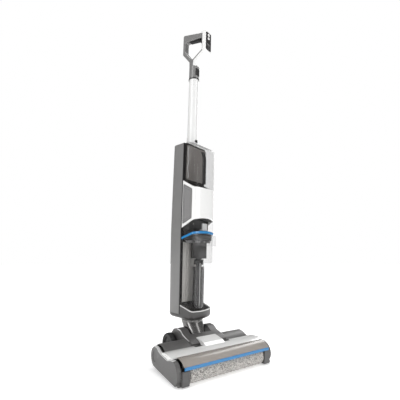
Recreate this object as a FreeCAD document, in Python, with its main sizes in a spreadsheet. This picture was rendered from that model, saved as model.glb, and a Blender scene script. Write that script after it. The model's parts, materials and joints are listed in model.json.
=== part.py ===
import FreeCAD, Part
import math
import os

import Sketcher
from FreeCAD import Placement, Rotation, Vector

# Cordless upright wet and dry floor scrubber, in millimetres, +Z up, front towards -Y.
# The origin is on the floor, under the middle of the machine at rest.

DOC = FreeCAD.newDocument("scrubber")

# ---------------------------------------------------------------- driving dimensions

SIZES = {
    # foot
    "foot_width": 316, "cap_plate": 12, "cap_wall": 4, "shell_wall": 2.5, "fit_gap": 0.4,
    "front_y": -137, "roller_y": -110.5, "roller_z": 25.2, "pile_radius": 25, "core_radius": 17,
    "pile_length": 246, "plug_radius": 7, "plug_tip": 4, "run_gap": 0.05,
    "strip_height": 7, "strip_depth": 3, "strip_z": 38.5, "strip_length": 282,
    "window_wall": 2.2, "cover_front": -98.5, "cover_rear": -42.5, "cover_wall": 3,
    "button_width": 26, "button_depth": 15, "button_x": 49,
    "motor_y": -1.5, "motor_z": 38.5, "motor_radius": 20, "motor_length": 84,
    "roller_pulley": 11, "motor_pulley": 7, "belt_thick": 1.6, "belt_width": 4,
    "sole_z": 6, "sole_thick": 3, "runner_width": 20, "runner_length": 30, "runner_x": 105,
    "hump_half": 62, "slot_half": 37.5, "cheek_thick": 8,
    "hinge_y": 28.5, "hinge_z": 46, "hinge_pin": 5,
    "wheel_y": 70.5, "wheel_radius": 36, "wheel_width": 18, "wheel_inner": 66, "tyre_thick": 6,
    "axle_radius": 4, "squeegee_thick": 3,
    # neck
    "barrel_radius": 19, "neck_bottom": 30, "neck_top": 35, "neck_duct": 17,
    "swivel_y": 60.5, "swivel_z": 110, "collar_height": 5, "spigot_radius": 24, "spigot_length": 9,
    # body, measured from the swivel point along the body's own axis
    "body_half": 55, "body_front": 55, "body_rear": 79.4, "front_taper": 3, "front_bow": 10,
    "front_round": 14, "rear_round": 34, "body_wall": 2.5, "seam_y": 12, "spine_thick": 4,
    "cup_bottom": 3, "cup_step": 16, "cup_top": 40, "cup_round": 12, "rim_height": 2.5,
    "base_taper": 0.08, "dirty_height": 226, "ring_height": 7, "lid_thick": 3, "visor_reach": 13,
    "recess_depth": 35, "recess_height": 38.9, "band_wall": 3, "band_height": 109, "band_step": -2,
    "wing_drop": 25, "wing_rise": 28, "clean_height": 165, "clean_back": 1, "brow_drop": 42,
    "battery_width": 70, "battery_depth": 42, "battery_height": 130, "fan_radius": 26.5, "fan_height": 80,
    "pump_radius": 13, "pump_length": 52, "board_width": 70, "board_height": 100,
    "standpipe_radius": 9, "column_radius": 17, "float_radius": 16, "filter_height": 14,
    # handle
    "tube_y": 23, "tube_radius": 18.5, "tube_wall": 2, "tube_length": 276, "socket_wall": 2.5,
    "socket_height": 36, "collar_wall": 2.5, "grip_half": 11, "stem_step": 1, "stem_height": 49,
    "trigger_pin": 2, "trigger_width": 12, "bezel_half": 16.5, "bezel_depth": 17, "bezel_wall": 3,
    "panel_width": 28, "panel_height": 74, "panel_button": 5.5, "shoulder_height": 24,
    "lean_degrees": 2.4, "yaw_degrees": 15,
}

SHEET = DOC.addObject("Spreadsheet::Sheet", "Sizes")
for row, (alias, size) in enumerate(SIZES.items(), start=1):
    SHEET.set(f"A{row}", alias)
    SHEET.set(f"B{row}", str(size))
    SHEET.setAlias(f"B{row}", alias)
DOC.recompute()


class Dim:
    """A length with its value now and the sheet formula that it comes from."""

    def __init__(self, value, text):
        self.value = float(value)
        self.text = text

    def __add__(self, other):
        other = dim(other)
        return Dim(self.value + other.value, f"({self.text} + {other.text})")

    def __radd__(self, other):
        return dim(other) + self

    def __sub__(self, other):
        other = dim(other)
        return Dim(self.value - other.value, f"({self.text} - {other.text})")

    def __rsub__(self, other):
        return dim(other) - self

    def __mul__(self, factor):
        return Dim(self.value * factor, f"({self.text} * {factor})")

    __rmul__ = __mul__

    def __truediv__(self, factor):
        return Dim(self.value / factor, f"({self.text} / {factor})")

    def __neg__(self):
        return Dim(-self.value, f"(-1 * {self.text})")

    def __float__(self):
        return self.value


def dim(size):
    """A Dim as it is, or a plain number as a Dim."""
    return size if isinstance(size, Dim) else Dim(size, repr(float(size)))


class Sizes:
    """Every sheet cell as an attribute."""


S = Sizes()
for alias in SIZES:
    setattr(S, alias, Dim(SHEET.get(alias), f"Sizes.{alias}"))

HALF = S.foot_width / 2
CAP_INNER = HALF - S.cap_plate

# Heights up the body, each stacked on the one below it.
TANK_LOW = S.cup_top + S.fit_gap / 2 + S.rim_height + S.fit_gap
TANK_HIGH = TANK_LOW + S.dirty_height
RING_TOP = TANK_HIGH + S.ring_height
LID_TOP = RING_TOP + S.lid_thick
BLOCK_BOTTOM = LID_TOP + S.recess_height
BAND_BOTTOM = BLOCK_BOTTOM + S.band_step
BAND_TOP = BAND_BOTTOM + S.band_height
WING_BOTTOM = BAND_BOTTOM - S.wing_drop
WING_TOP = BAND_TOP + S.wing_rise
CLEAN_TOP = BAND_TOP + S.clean_height
BROW = CLEAN_TOP - S.brow_drop
TUBE_TOP = CLEAN_TOP + S.tube_length
STEM_TOP = TUBE_TOP + S.stem_height
SOCKET_RADIUS = S.tube_radius + S.socket_wall
COLLAR_RADIUS = S.tube_radius + S.collar_wall
STEM_RADIUS = S.tube_radius + S.stem_step
IN_FOOT = Placement()
HINGE = Vector(0, float(S.hinge_y), float(S.hinge_z))
SWIVEL = Vector(0, float(S.swivel_y), float(S.swivel_z))
LEAN = Rotation(Vector(1, 0, 0), float(S.lean_degrees))
YAW = Rotation(Vector(0, 0, 1), float(S.yaw_degrees))
IN_BODY = Placement(SWIVEL, LEAN.multiply(YAW))

NODES = []

# ---------------------------------------------------------------- PartDesign helpers


def new_body(label, place=IN_FOOT):
    """An empty PartDesign body that becomes one node."""
    body = DOC.addObject("PartDesign::Body", label)
    body.Label = label
    body.Placement = place
    NODES.append(body)
    return body


def new_sketch(body, plane, offset=0):
    """A sketch on an origin plane, moved along the plane's normal by offset."""
    sketch = body.newObject("Sketcher::SketchObject", f"{body.Name}_sketch")
    role = next(part for part in body.Origin.OriginFeatures if part.Role == plane)
    sketch.AttachmentSupport = [(role, "")]
    sketch.MapMode = "FlatFace"
    sketch.AttachmentOffset = Placement(Vector(0, 0, float(offset)), Rotation())
    if isinstance(offset, Dim):
        sketch.setExpression("AttachmentOffset.Base.z", offset.text)
    return sketch


def pin_point(sketch, geometry, point, corner):
    """Hold a sketch point at a corner given as two sizes."""
    for kind, size in zip(("DistanceX", "DistanceY"), corner):
        size = dim(size)
        index = sketch.addConstraint(
            Sketcher.Constraint(kind, -1, 1, geometry, point, size.value))
        sketch.setExpression(f"Constraints[{index}]", size.text)


def outline(sketch, corners):
    """A closed polygon through the corners."""
    points = [Vector(float(dim(u)), float(dim(v)), 0) for u, v in corners]
    first = sketch.GeometryCount
    count = len(points)
    for index in range(count):
        sketch.addGeometry(Part.LineSegment(points[index], points[(index + 1) % count]), False)
    for index in range(count):
        after = first + (index + 1) % count
        sketch.addConstraint(Sketcher.Constraint("Coincident", first + index, 2, after, 1))
    for index, corner in enumerate(corners):
        pin_point(sketch, first + index, 1, corner)


def rectangle(sketch, low, high):
    """A rectangle between two opposite corners."""
    outline(sketch, [low, (high[0], low[1]), high, (low[0], high[1])])


def circle(sketch, centre, radius):
    """A circle with its centre and radius held by the sheet."""
    middle = Vector(float(dim(centre[0])), float(dim(centre[1])), 0)
    index = sketch.addGeometry(Part.Circle(middle, Vector(0, 0, 1), float(dim(radius))), False)
    pin_point(sketch, index, 3, centre)
    hold = sketch.addConstraint(Sketcher.Constraint("Radius", index, float(dim(radius))))
    sketch.setExpression(f"Constraints[{hold}]", dim(radius).text)


def pad(body, sketch, length, both_ways=False, reverse=False):
    """Pad a sketch by a length, about its plane or to one side."""
    feature = body.newObject("PartDesign::Pad", f"{body.Name}_pad")
    feature.Profile = sketch
    feature.Length = float(dim(length))
    feature.setExpression("Length", dim(length).text)
    feature.Midplane = both_ways
    feature.Reversed = reverse
    sketch.Visibility = False
    DOC.recompute()
    return feature


def pocket(body, sketch, length, both_ways=False, reverse=False):
    """Cut a sketch into the body and make sure that it cut something."""
    before = body.Shape.Volume
    feature = body.newObject("PartDesign::Pocket", f"{body.Name}_pocket")
    feature.Profile = sketch
    feature.Length = float(dim(length))
    feature.setExpression("Length", dim(length).text)
    feature.Midplane = both_ways
    feature.Reversed = reverse
    DOC.recompute()
    if body.Shape.Volume > before - 0.5:
        raise RuntimeError(f"the pocket in {body.Label} cuts nothing")
    return feature


def turned(label, place, profile, plane="XZ_Plane", across=False):
    """A body of revolution about the sketch's vertical axis, or its horizontal one."""
    body = new_body(label, place)
    sketch = new_sketch(body, plane)
    outline(sketch, profile)
    feature = body.newObject("PartDesign::Revolution", f"{label}_turn")
    feature.Profile = sketch
    feature.ReferenceAxis = (sketch, ["H_Axis" if across else "V_Axis"])
    feature.Angle = 360
    DOC.recompute()
    return body


def edges_where(shape, test):
    """Names of the edges whose middle and direction pass a test."""
    names = []
    for index, edge in enumerate(shape.Edges, start=1):
        first = edge.valueAt(edge.FirstParameter)
        last = edge.valueAt(edge.LastParameter)
        if test(edge.CenterOfMass, (last - first)):
            names.append(f"Edge{index}")
    return names


def fillet(body, radius, test):
    """Round the edges that pass a test."""
    base = body.Tip
    feature = body.newObject("PartDesign::Fillet", f"{body.Name}_fillet")
    feature.Base = (base, edges_where(base.Shape, test))
    feature.Radius = float(dim(radius))
    feature.setExpression("Radius", dim(radius).text)
    DOC.recompute()
    return feature


def lies_along(axis):
    """A test for straight edges that run along one axis."""
    def test(_middle, span):
        return span.Length > 0.1 and abs(span.dot(axis)) > 0.999 * span.Length
    return test


def slab(label, plane, corners, length, place=IN_FOOT, offset=0, both_ways=False, reverse=False):
    """A body padded from one outline."""
    body = new_body(label, place)
    sketch = new_sketch(body, plane, offset)
    outline(sketch, corners)
    pad(body, sketch, length, both_ways, reverse)
    return body


# ---------------------------------------------------------------- Part helpers

X_AXIS = Vector(1, 0, 0)
Y_AXIS = Vector(0, 1, 0)
Z_AXIS = Vector(0, 0, 1)


def keep(label, shape, place=IN_FOOT):
    """A node whose shape is worked out from the sheet in code."""
    node = DOC.addObject("Part::Feature", label)
    node.Label = label
    node.Shape = shape
    node.Placement = place
    NODES.append(node)
    return node


def at(x, y, z):
    """A vector from numbers or sizes."""
    return Vector(float(x), float(y), float(z))


def side_face(points, x=0.0):
    """A face in the plane across X through corners (y, z)."""
    wire = Part.makePolygon([at(x, y, z) for y, z in points + points[:1]])
    return Part.Face(wire)


def across(points, x_from, x_to):
    """A side outline carried from one x to another."""
    return side_face(points, float(x_from)).extrude(at(float(x_to) - float(x_from), 0, 0))


def rod(radius, x_from, x_to, y, z):
    """A cylinder along X."""
    length = float(x_to) - float(x_from)
    return Part.makeCylinder(float(radius), length, at(x_from, y, z), X_AXIS)


def post(radius, z_from, z_to, x=0, y=0):
    """A cylinder along Z."""
    return Part.makeCylinder(float(radius), float(z_to) - float(z_from), at(x, y, z_from), Z_AXIS)


def block(low, high):
    """A box between two corners."""
    sides = [float(b) - float(a) for a, b in zip(low, high)]
    return Part.makeBox(*sides, at(*low))


def mirrored(shape):
    """The same shape on the other side of the middle plane."""
    return shape.mirror(Vector(0, 0, 0), X_AXIS)


def plan_face():
    """The body's plan: straight sides that taper to the front corners, a bowed front, a round back."""
    half, back = float(S.body_half), float(S.body_rear)
    front = float(S.body_front)
    corner = Vector(half - float(S.front_taper), float(S.front_bow) - front, 0)
    side = Vector(half, float(S.seam_y), 0)
    bow = Part.Arc(corner, Vector(0, -front, 0), Vector(-corner.x, corner.y, 0)).toShape()
    turn = float(S.rear_round)
    diagonal = turn * math.sqrt(0.5)
    edges = [bow]
    for sign in (1, -1):
        hub = Vector(sign * (half - turn), back - turn, 0)
        on_side = hub + Vector(sign * turn, 0, 0)
        on_back = hub + Vector(0, turn, 0)
        edges.append(Part.makeLine(Vector(sign * corner.x, corner.y, 0), Vector(sign * side.x, side.y, 0)))
        edges.append(Part.makeLine(Vector(sign * side.x, side.y, 0), on_side))
        edges.append(Part.Arc(on_side, hub + Vector(sign * diagonal, diagonal, 0), on_back).toShape())
    edges.append(Part.makeLine(Vector(turn - half, back, 0), Vector(half - turn, back, 0)))
    sharp = Part.Face(Part.Wire(Part.__sortEdges__(edges)))
    prism = sharp.extrude(Z_AXIS)
    uprights = [edge for edge in prism.Edges
                if abs(edge.CenterOfMass.z - 0.5) < 0.01 and abs(edge.CenterOfMass.y - corner.y) < 0.01]
    rounded = prism.makeFillet(float(S.front_round), uprights)
    return next(face for face in rounded.Faces
                if all(abs(vertex.Z) < 0.01 for vertex in face.Vertexes))


PLAN = plan_face()


def plan_at(face, height):
    """The plan at a height: full size above the lid, drawn in evenly towards the base."""
    below = max(float(LID_TOP) - height, 0.0) / float(LID_TOP - S.cup_bottom)
    section = face.copy()
    section.scale(1.0 - float(S.base_taper) * below, at(0, S.seam_y, 0))
    section.translate(at(0, 0, height))
    return section


def body_plan(inset, z_from, z_to, rear=None):
    """The body's solid between two heights, drawn in by an inset and cut square at a rear line."""
    low, high = float(z_from), float(z_to)
    middle = float(LID_TOP)
    face = PLAN.makeOffset2D(-inset, 0) if inset else PLAN
    parts = []
    if low < middle:
        ends = [plan_at(face, low).OuterWire, plan_at(face, min(high, middle)).OuterWire]
        parts.append(Part.makeLoft(ends, True, True))
    if high > middle:
        start = max(low, middle)
        parts.append(plan_at(face, start).extrude(at(0, 0, high - start)))
    for part in parts:
        if part.Volume < 0:
            part.reverse()
    solid = parts[0].fuse(parts[1]) if len(parts) > 1 else parts[0]
    if rear is None:
        return solid
    return solid.common(block((-199, -299, low), (199, rear - inset, high)))


def under_line(line, lift=0.0):
    """Everything in front of the spine that lies under a side line, raised by a lift."""
    points = [(y, z + lift) for y, z in line]
    return across([(points[0][0], -99)] + points + [(points[-1][0], -99)], -199, 199)


def side_line(base, seam, corner, nose):
    """A line round the body's side given by its heights at the seam, the front corner and the nose."""
    edge = float(S.front_bow) - float(S.body_front)
    level = float(base)
    front = -float(S.body_front)
    return [(float(S.seam_y) - float(S.spine_thick), level + float(seam)),
            (edge + 5, level + corner),
            (edge - 1, level + corner + (nose - corner) / 5),
            (front, level + nose),
            (front - 60, level + nose)]


RIM_LINE = side_line(S.cup_top, 2, -11, -13)
RING_LINE = side_line(TANK_HIGH, -16, 0, 5)
BAND_LOW_LINE = side_line(BAND_BOTTOM, -S.wing_drop, 0, 10)
BAND_HIGH_LINE = side_line(BAND_TOP, S.wing_rise, 1, 0)


# ---------------------------------------------------------------- foot: chassis and housings

def make_chassis():
    """The moulded base: sole, wall behind the roller, two cheeks and two runners."""
    sole_top = S.sole_z + S.sole_thick
    wall_back = S.roller_y + S.pile_radius + 7
    wall_front = wall_back - S.sole_thick
    rear = S.hinge_y + 1
    sole_rear = S.motor_y + 7
    body = slab("chassis", "YZ_Plane",
                [(wall_front, S.sole_z), (sole_rear, S.sole_z), (sole_rear, sole_top), (wall_back, sole_top),
                 (wall_back, S.roller_z * 2 + 3.5), (wall_front, S.roller_z * 2 + 3.5)],
                (CAP_INNER - S.fit_gap) * 2, both_ways=True)
    cheek = [(rear - 30, S.sole_z), (rear, S.sole_z), (S.wheel_y - 10, 14), (S.wheel_y + 12, 24),
             (S.wheel_y + 12, 48), (S.wheel_y - 10, 56), (S.hinge_y + 8, S.hinge_z + 18),
             (S.hinge_y - 8, S.hinge_z + 18), (rear - 30, 50)]
    outer = new_sketch(body, "YZ_Plane")
    outline(outer, cheek)
    pad(body, outer, (S.slot_half + S.cheek_thick) * 2, both_ways=True)
    gap = new_sketch(body, "YZ_Plane")
    rectangle(gap, (rear - 40, sole_top), (S.wheel_y + 30, S.hinge_z + 40))
    pocket(body, gap, S.slot_half * 2, both_ways=True)
    heel = new_sketch(body, "YZ_Plane")
    rectangle(heel, (rear, 0), (S.wheel_y + 30, sole_top))
    pocket(body, heel, S.slot_half * 2, both_ways=True)
    holes = (((S.hinge_y, S.hinge_z), S.hinge_pin),
             ((S.wheel_y, S.wheel_radius), S.axle_radius))
    for centre, radius in holes:
        bore = new_sketch(body, "YZ_Plane")
        circle(bore, centre, radius)
        pocket(body, bore, S.foot_width, both_ways=True)
    for side in (-1, 1):
        runner = new_sketch(body, "XY_Plane")
        middle = S.runner_x * side
        rectangle(runner, (middle - S.runner_width / 2, wall_back), (middle + S.runner_width / 2,
                                                                    wall_back + S.runner_length))
        pad(body, runner, sole_top)
    mouth = new_sketch(body, "XZ_Plane", -wall_back)
    rectangle(mouth, (-24, 13), (24, 27))
    pocket(body, mouth, S.sole_thick * 2 + 2, both_ways=True)


CAP_TOP = [(4.5, 61.5), (-10.5, 61.5), (-25.5, 54.2), (-37.5, 51.5), (-76, 47), (-91, 52), (-106.5, 54)]
CAP_REAR = [(23.1, 38.2), (1.5, 12)]
CAP_FRONT = [(-117.5, 3), (-129, 28)]


def cap_outline(inset=0.0):
    """The end cap's side face, drawn in by an inset."""
    top = [Vector(0, y, z) for y, z in CAP_TOP]
    edges = [Part.makeLine(top[i], top[i + 1]) for i in range(len(top) - 1)]
    low_rear, low_front = Vector(0, *CAP_REAR[1]), Vector(0, *CAP_FRONT[0])
    edges.append(Part.Arc(top[0], Vector(0, *CAP_REAR[0]), low_rear).toShape())
    edges.append(Part.Arc(top[-1], Vector(0, *CAP_FRONT[1]), low_front).toShape())
    edges.append(Part.makeLine(low_rear, low_front))
    face = Part.Face(Part.Wire(Part.__sortEdges__(edges)))
    return face.makeOffset2D(-inset, 2) if inset else face


def face_across(face, x_from, x_to):
    """A face in the plane across X carried from one x to another."""
    start = face.copy()
    start.translate(at(x_from, 0, 0))
    return start.extrude(at(float(x_to) - float(x_from), 0, 0))


def end_cap(side):
    """A hollow end cap with the roller's blind bore and its front corner guard."""
    inner, outer = float(CAP_INNER), float(HALF)
    plate = face_across(cap_outline(), inner, outer)
    hollow = face_across(cap_outline(float(S.cap_wall)), inner - 1, outer - float(S.cap_wall))
    cap = plate.cut(hollow)
    guard_inner = float(S.pile_length) / 2 + 3
    front = float(S.front_y)
    guard = across([(front + 4, 3), (front + 17, 2), (front + 17, 12), (front + 8, 20), (front + 9, 34),
                    (front + 6, 36.5), (front + 1.5, 36.5)], guard_inner, inner)
    lug = across([(front + 9, 3.2), (front + 17, 3), (front + 17, 9), (front + 12, 12)], inner, inner + 8)
    cap = cap.fuse([guard, lug])
    socket = rod(S.plug_tip + S.run_gap, inner - 1, outer - float(S.cap_wall) + 2.5, S.roller_y, S.roller_z)
    recess = rod(14, outer - 1.2, outer + 1, S.motor_y, S.motor_z)
    cap = cap.cut([socket, recess]).removeSplitter()
    return cap if side > 0 else mirrored(cap)


def make_caps():
    """The two end caps and the bright trims along the top of the caps and the hump."""
    keep("end_cap_left", end_cap(-1))
    keep("end_cap_right", end_cap(1))
    top = CAP_TOP
    strip = across(top + [(y, z + 2.2) for y, z in reversed(top)], CAP_INNER + 4, HALF)
    lower = [(y, z) for y, z in HUMP_TOP[1:6]]
    fin = across(lower + [(y, z - 3) for y, z in reversed(lower)], S.hump_half, S.hump_half + 1.5)
    keep("foot_trims", Part.makeCompound([strip, fin, mirrored(strip), mirrored(fin)]))


HUMP_TOP = [(-38.5, 61), (-25.5, 68.5), (-7.5, 72), (12.5, 78), (25.5, 87), (47.5, 89), (69.5, 83),
            (84.5, 70), (92.5, 50)]
HUMP_BOTTOM = [(88.5, 28), (76.5, 15), (52.5, 11), (4.5, 11)]


def rear_profile(inset=0.0):
    """The motor cover's side face: a low rounded shell behind the roller."""
    points = [(-41.5, 55.5), (-24, 65), (-6, 68.5), (17, 57.5), (23.5, 39.5), (19, 21), (4, 10.5)]
    spots = [Vector(0, y, z) for y, z in points]
    edges = [Part.Arc(*spots[i:i + 3]).toShape() for i in (0, 2, 4)]
    edges.append(Part.makeLine(spots[-1], spots[0]))
    face = Part.Face(Part.Wire(edges))
    return face.makeOffset2D(-inset, 2) if inset else face


def make_housings():
    """The motor cover across the foot and the hump around the neck."""
    wall = float(S.shell_wall)
    span = float(CAP_INNER - S.fit_gap)
    outer = face_across(rear_profile(), -span, span)
    inner = face_across(rear_profile(wall), -span - 1, span + 1)
    front_opening = across([(-80, -5), (-80, 53.5), (-34, 53.5), (6, 13.5), (6, -5)], -span - 1, span + 1)
    slot = float(S.slot_half + S.cheek_thick) + 1
    middle = block((-slot - 2, float(S.hinge_y) - 33, 0), (slot + 2, 60, 90))
    keep("rear_cover", outer.cut([inner, front_opening, middle]).removeSplitter())

    hump = across(HUMP_TOP + HUMP_BOTTOM, -S.hump_half, S.hump_half)
    inside = face_across(side_face(HUMP_TOP + HUMP_BOTTOM).makeOffset2D(-wall, 2),
                         -S.hump_half + wall, S.hump_half - wall)
    neck_slot = block((-float(S.slot_half), float(S.motor_y) + 8, 0), (float(S.slot_half), 120, 120))
    cheeks = block((-slot, float(S.motor_y) - 4, 0), (slot, 120, float(S.hinge_z) + 20))
    under = face_across(rear_profile(-float(S.fit_gap)), -100, 100)
    fairing_bay = block((-34 - float(S.fit_gap), -60, 0), (34 + float(S.fit_gap), -18, 120))
    axles = rod(S.axle_radius + S.fit_gap, -99, 99, S.wheel_y, S.wheel_radius)
    hump = hump.cut([inside, neck_slot, cheeks, under, fairing_bay, axles])
    keep("centre_housing", hump.removeSplitter())


def make_foot_works():
    """Motor, belt, duct, squeegee, pins and screws inside the foot."""
    start = -(CAP_INNER - 12)
    motor = new_body("brush_motor")
    sketch = new_sketch(motor, "YZ_Plane", start)
    circle(sketch, (S.motor_y, S.motor_z), S.motor_radius)
    pad(motor, sketch, S.motor_length)
    nose = new_sketch(motor, "YZ_Plane", start)
    circle(nose, (S.motor_y, S.motor_z), 8)
    pad(motor, nose, 8, reverse=True)

    reach = Vector(0, float(S.motor_y - S.roller_y), float(S.motor_z - S.roller_z))
    gap = 0.3
    inner = belt_loop(float(S.roller_pulley) + gap, float(S.motor_pulley) + gap, reach)
    thick = float(S.belt_thick)
    outer = belt_loop(float(S.roller_pulley) + gap + thick, float(S.motor_pulley) + gap + thick, reach)
    x_from = -(CAP_INNER + 2 + S.belt_width)
    belt = outer.cut(inner)
    belt.translate(at(x_from, S.roller_y, S.roller_z))
    keep("drive_belt", belt.extrude(at(S.belt_width, 0, 0)))

    wall_back = S.roller_y + S.pile_radius + 7
    duct = new_body("suction_duct")
    shell = new_sketch(duct, "XZ_Plane", -wall_back - 0.2)
    rectangle(shell, (-27, 11), (27, 29))
    pad(duct, shell, S.hinge_y - S.barrel_radius - wall_back - 4, reverse=True)
    way = new_sketch(duct, "XZ_Plane", -wall_back + 1)
    rectangle(way, (-24, 13), (24, 27))
    pocket(duct, way, 120)

    blade = slab("squeegee", "YZ_Plane",
                 [(wall_back - S.sole_thick - 0.2, 0.4), (wall_back - S.sole_thick - 0.2, 14),
                  (wall_back - S.sole_thick - 0.2 - S.squeegee_thick, 14),
                  (wall_back - S.sole_thick - 0.2 - S.squeegee_thick, 0.4)],
                 S.pile_length, both_ways=True)
    fillet(blade, 1, lies_along(X_AXIS))

    slot = float(S.slot_half)
    cheek = float(S.cheek_thick)
    pin = rod(S.hinge_pin, slot - 3, slot + cheek, S.hinge_y, S.hinge_z)
    pin = pin.fuse(rod(S.hinge_pin + 3, slot + cheek, slot + cheek + 2, S.hinge_y, S.hinge_z))
    axle = rod(S.axle_radius, slot, S.wheel_inner + S.wheel_width + 1, S.wheel_y, S.wheel_radius)
    head = float(S.wheel_inner + S.wheel_width) + 1
    axle = axle.fuse(rod(S.axle_radius + 2, head, head + 2, S.wheel_y, S.wheel_radius))
    keep("foot_pins", Part.makeCompound([pin, mirrored(pin), axle, mirrored(axle)]))

    screws = []
    for x in (-125, -90, 90, 125):
        for y in (-45, 10):
            screw = post(3.2, float(S.sole_z) - 1.6, S.sole_z, x, y)
            screws.append(screw)
    keep("foot_screws", Part.makeCompound(screws))


def belt_loop(radius, far_radius, reach):
    """The face inside a belt round two pulleys, the first at the origin."""
    span = reach.Length
    slope = math.asin((radius - far_radius) / span)
    way = math.atan2(reach.z, reach.y)
    sides = []
    for turn in (1, -1):
        angle = way + turn * (math.pi / 2 - slope)
        out = Vector(0, math.cos(angle), math.sin(angle))
        sides.append((out * radius, reach + out * far_radius))
    tip = reach + Vector(0, math.cos(way), math.sin(way)) * far_radius
    tail = Vector(0, math.cos(way), math.sin(way)) * -radius
    edges = [Part.makeLine(*sides[0]), Part.Arc(sides[0][1], tip, sides[1][1]).toShape(),
             Part.makeLine(sides[1][1], sides[1][0]), Part.Arc(sides[1][0], tail, sides[0][0]).toShape()]
    return Part.Face(Part.Wire(edges))


# ---------------------------------------------------------------- foot: roller and wheels

def make_roller():
    """The brush roll: core tube, pile sleeve and the two end plugs."""
    place = Placement(at(0, S.roller_y, S.roller_z), Rotation(Y_AXIS, 90))
    half = S.pile_length / 2
    turned("brush_core", place, [(S.plug_radius, -half - 1), (S.core_radius, -half - 1),
                                 (S.core_radius, half + 1), (S.plug_radius, half + 1)])
    turned("brush_pile", place, [(S.core_radius, -half), (S.pile_radius, -half),
                                 (S.pile_radius, half), (S.core_radius, half)])
    tip_end = HALF - S.cap_wall + 2
    inner = CAP_INNER + 2
    rim = inner + S.belt_width
    turned("bearing_plug", place, [(0, half - 20), (S.plug_radius, half - 20), (S.plug_radius, CAP_INNER + 3),
                                   (S.plug_tip, CAP_INNER + 3), (S.plug_tip, tip_end), (0, tip_end)])
    turned("drive_plug", place, [(0, 20 - half), (0, -tip_end), (S.plug_tip, -tip_end),
                                 (S.plug_tip, -rim - 0.4), (S.roller_pulley, -rim - 0.4),
                                 (S.roller_pulley, 0.4 - inner), (S.plug_radius, 0.4 - inner),
                                 (S.plug_radius, 20 - half)])
    place = Placement(at(0, S.motor_y, S.motor_z), Rotation(Y_AXIS, 90))
    turned("motor_pulley", place, [(0, -rim - 0.4), (S.motor_pulley, -rim - 0.4),
                                   (S.motor_pulley, 0.4 - inner), (3, 0.4 - inner),
                                   (3, -CAP_INNER + 3.8), (0, -CAP_INNER + 3.8)])


def make_wheels():
    """Two rear wheels, each a dished hub with a rubber tyre."""
    for name, side in (("left", -1), ("right", 1)):
        place = Placement(at(0, S.wheel_y, S.wheel_radius), Rotation(Y_AXIS, 90 * side))
        rim = S.wheel_radius - S.tyre_thick
        low, high = S.wheel_inner, S.wheel_inner + S.wheel_width
        bore = S.axle_radius + S.run_gap
        turned(f"wheel_hub_{name}", place,
               [(bore, low + 0.5), (11, low + 0.5), (11, low + 6), (rim - 6, low + 8), (rim - 4, low + 1),
                (rim, low + 1), (rim, high - 1), (rim - 4, high - 1), (rim - 6, high - 5),
                (11, high - 3), (11, high), (bore, high)])
        bevel = 2
        turned(f"tyre_{name}", place,
               [(rim, low), (S.wheel_radius - bevel, low), (S.wheel_radius, low + bevel),
                (S.wheel_radius, high - bevel), (S.wheel_radius - bevel, high), (rim, high)])


# ---------------------------------------------------------------- foot: lift-off brush cover

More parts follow.
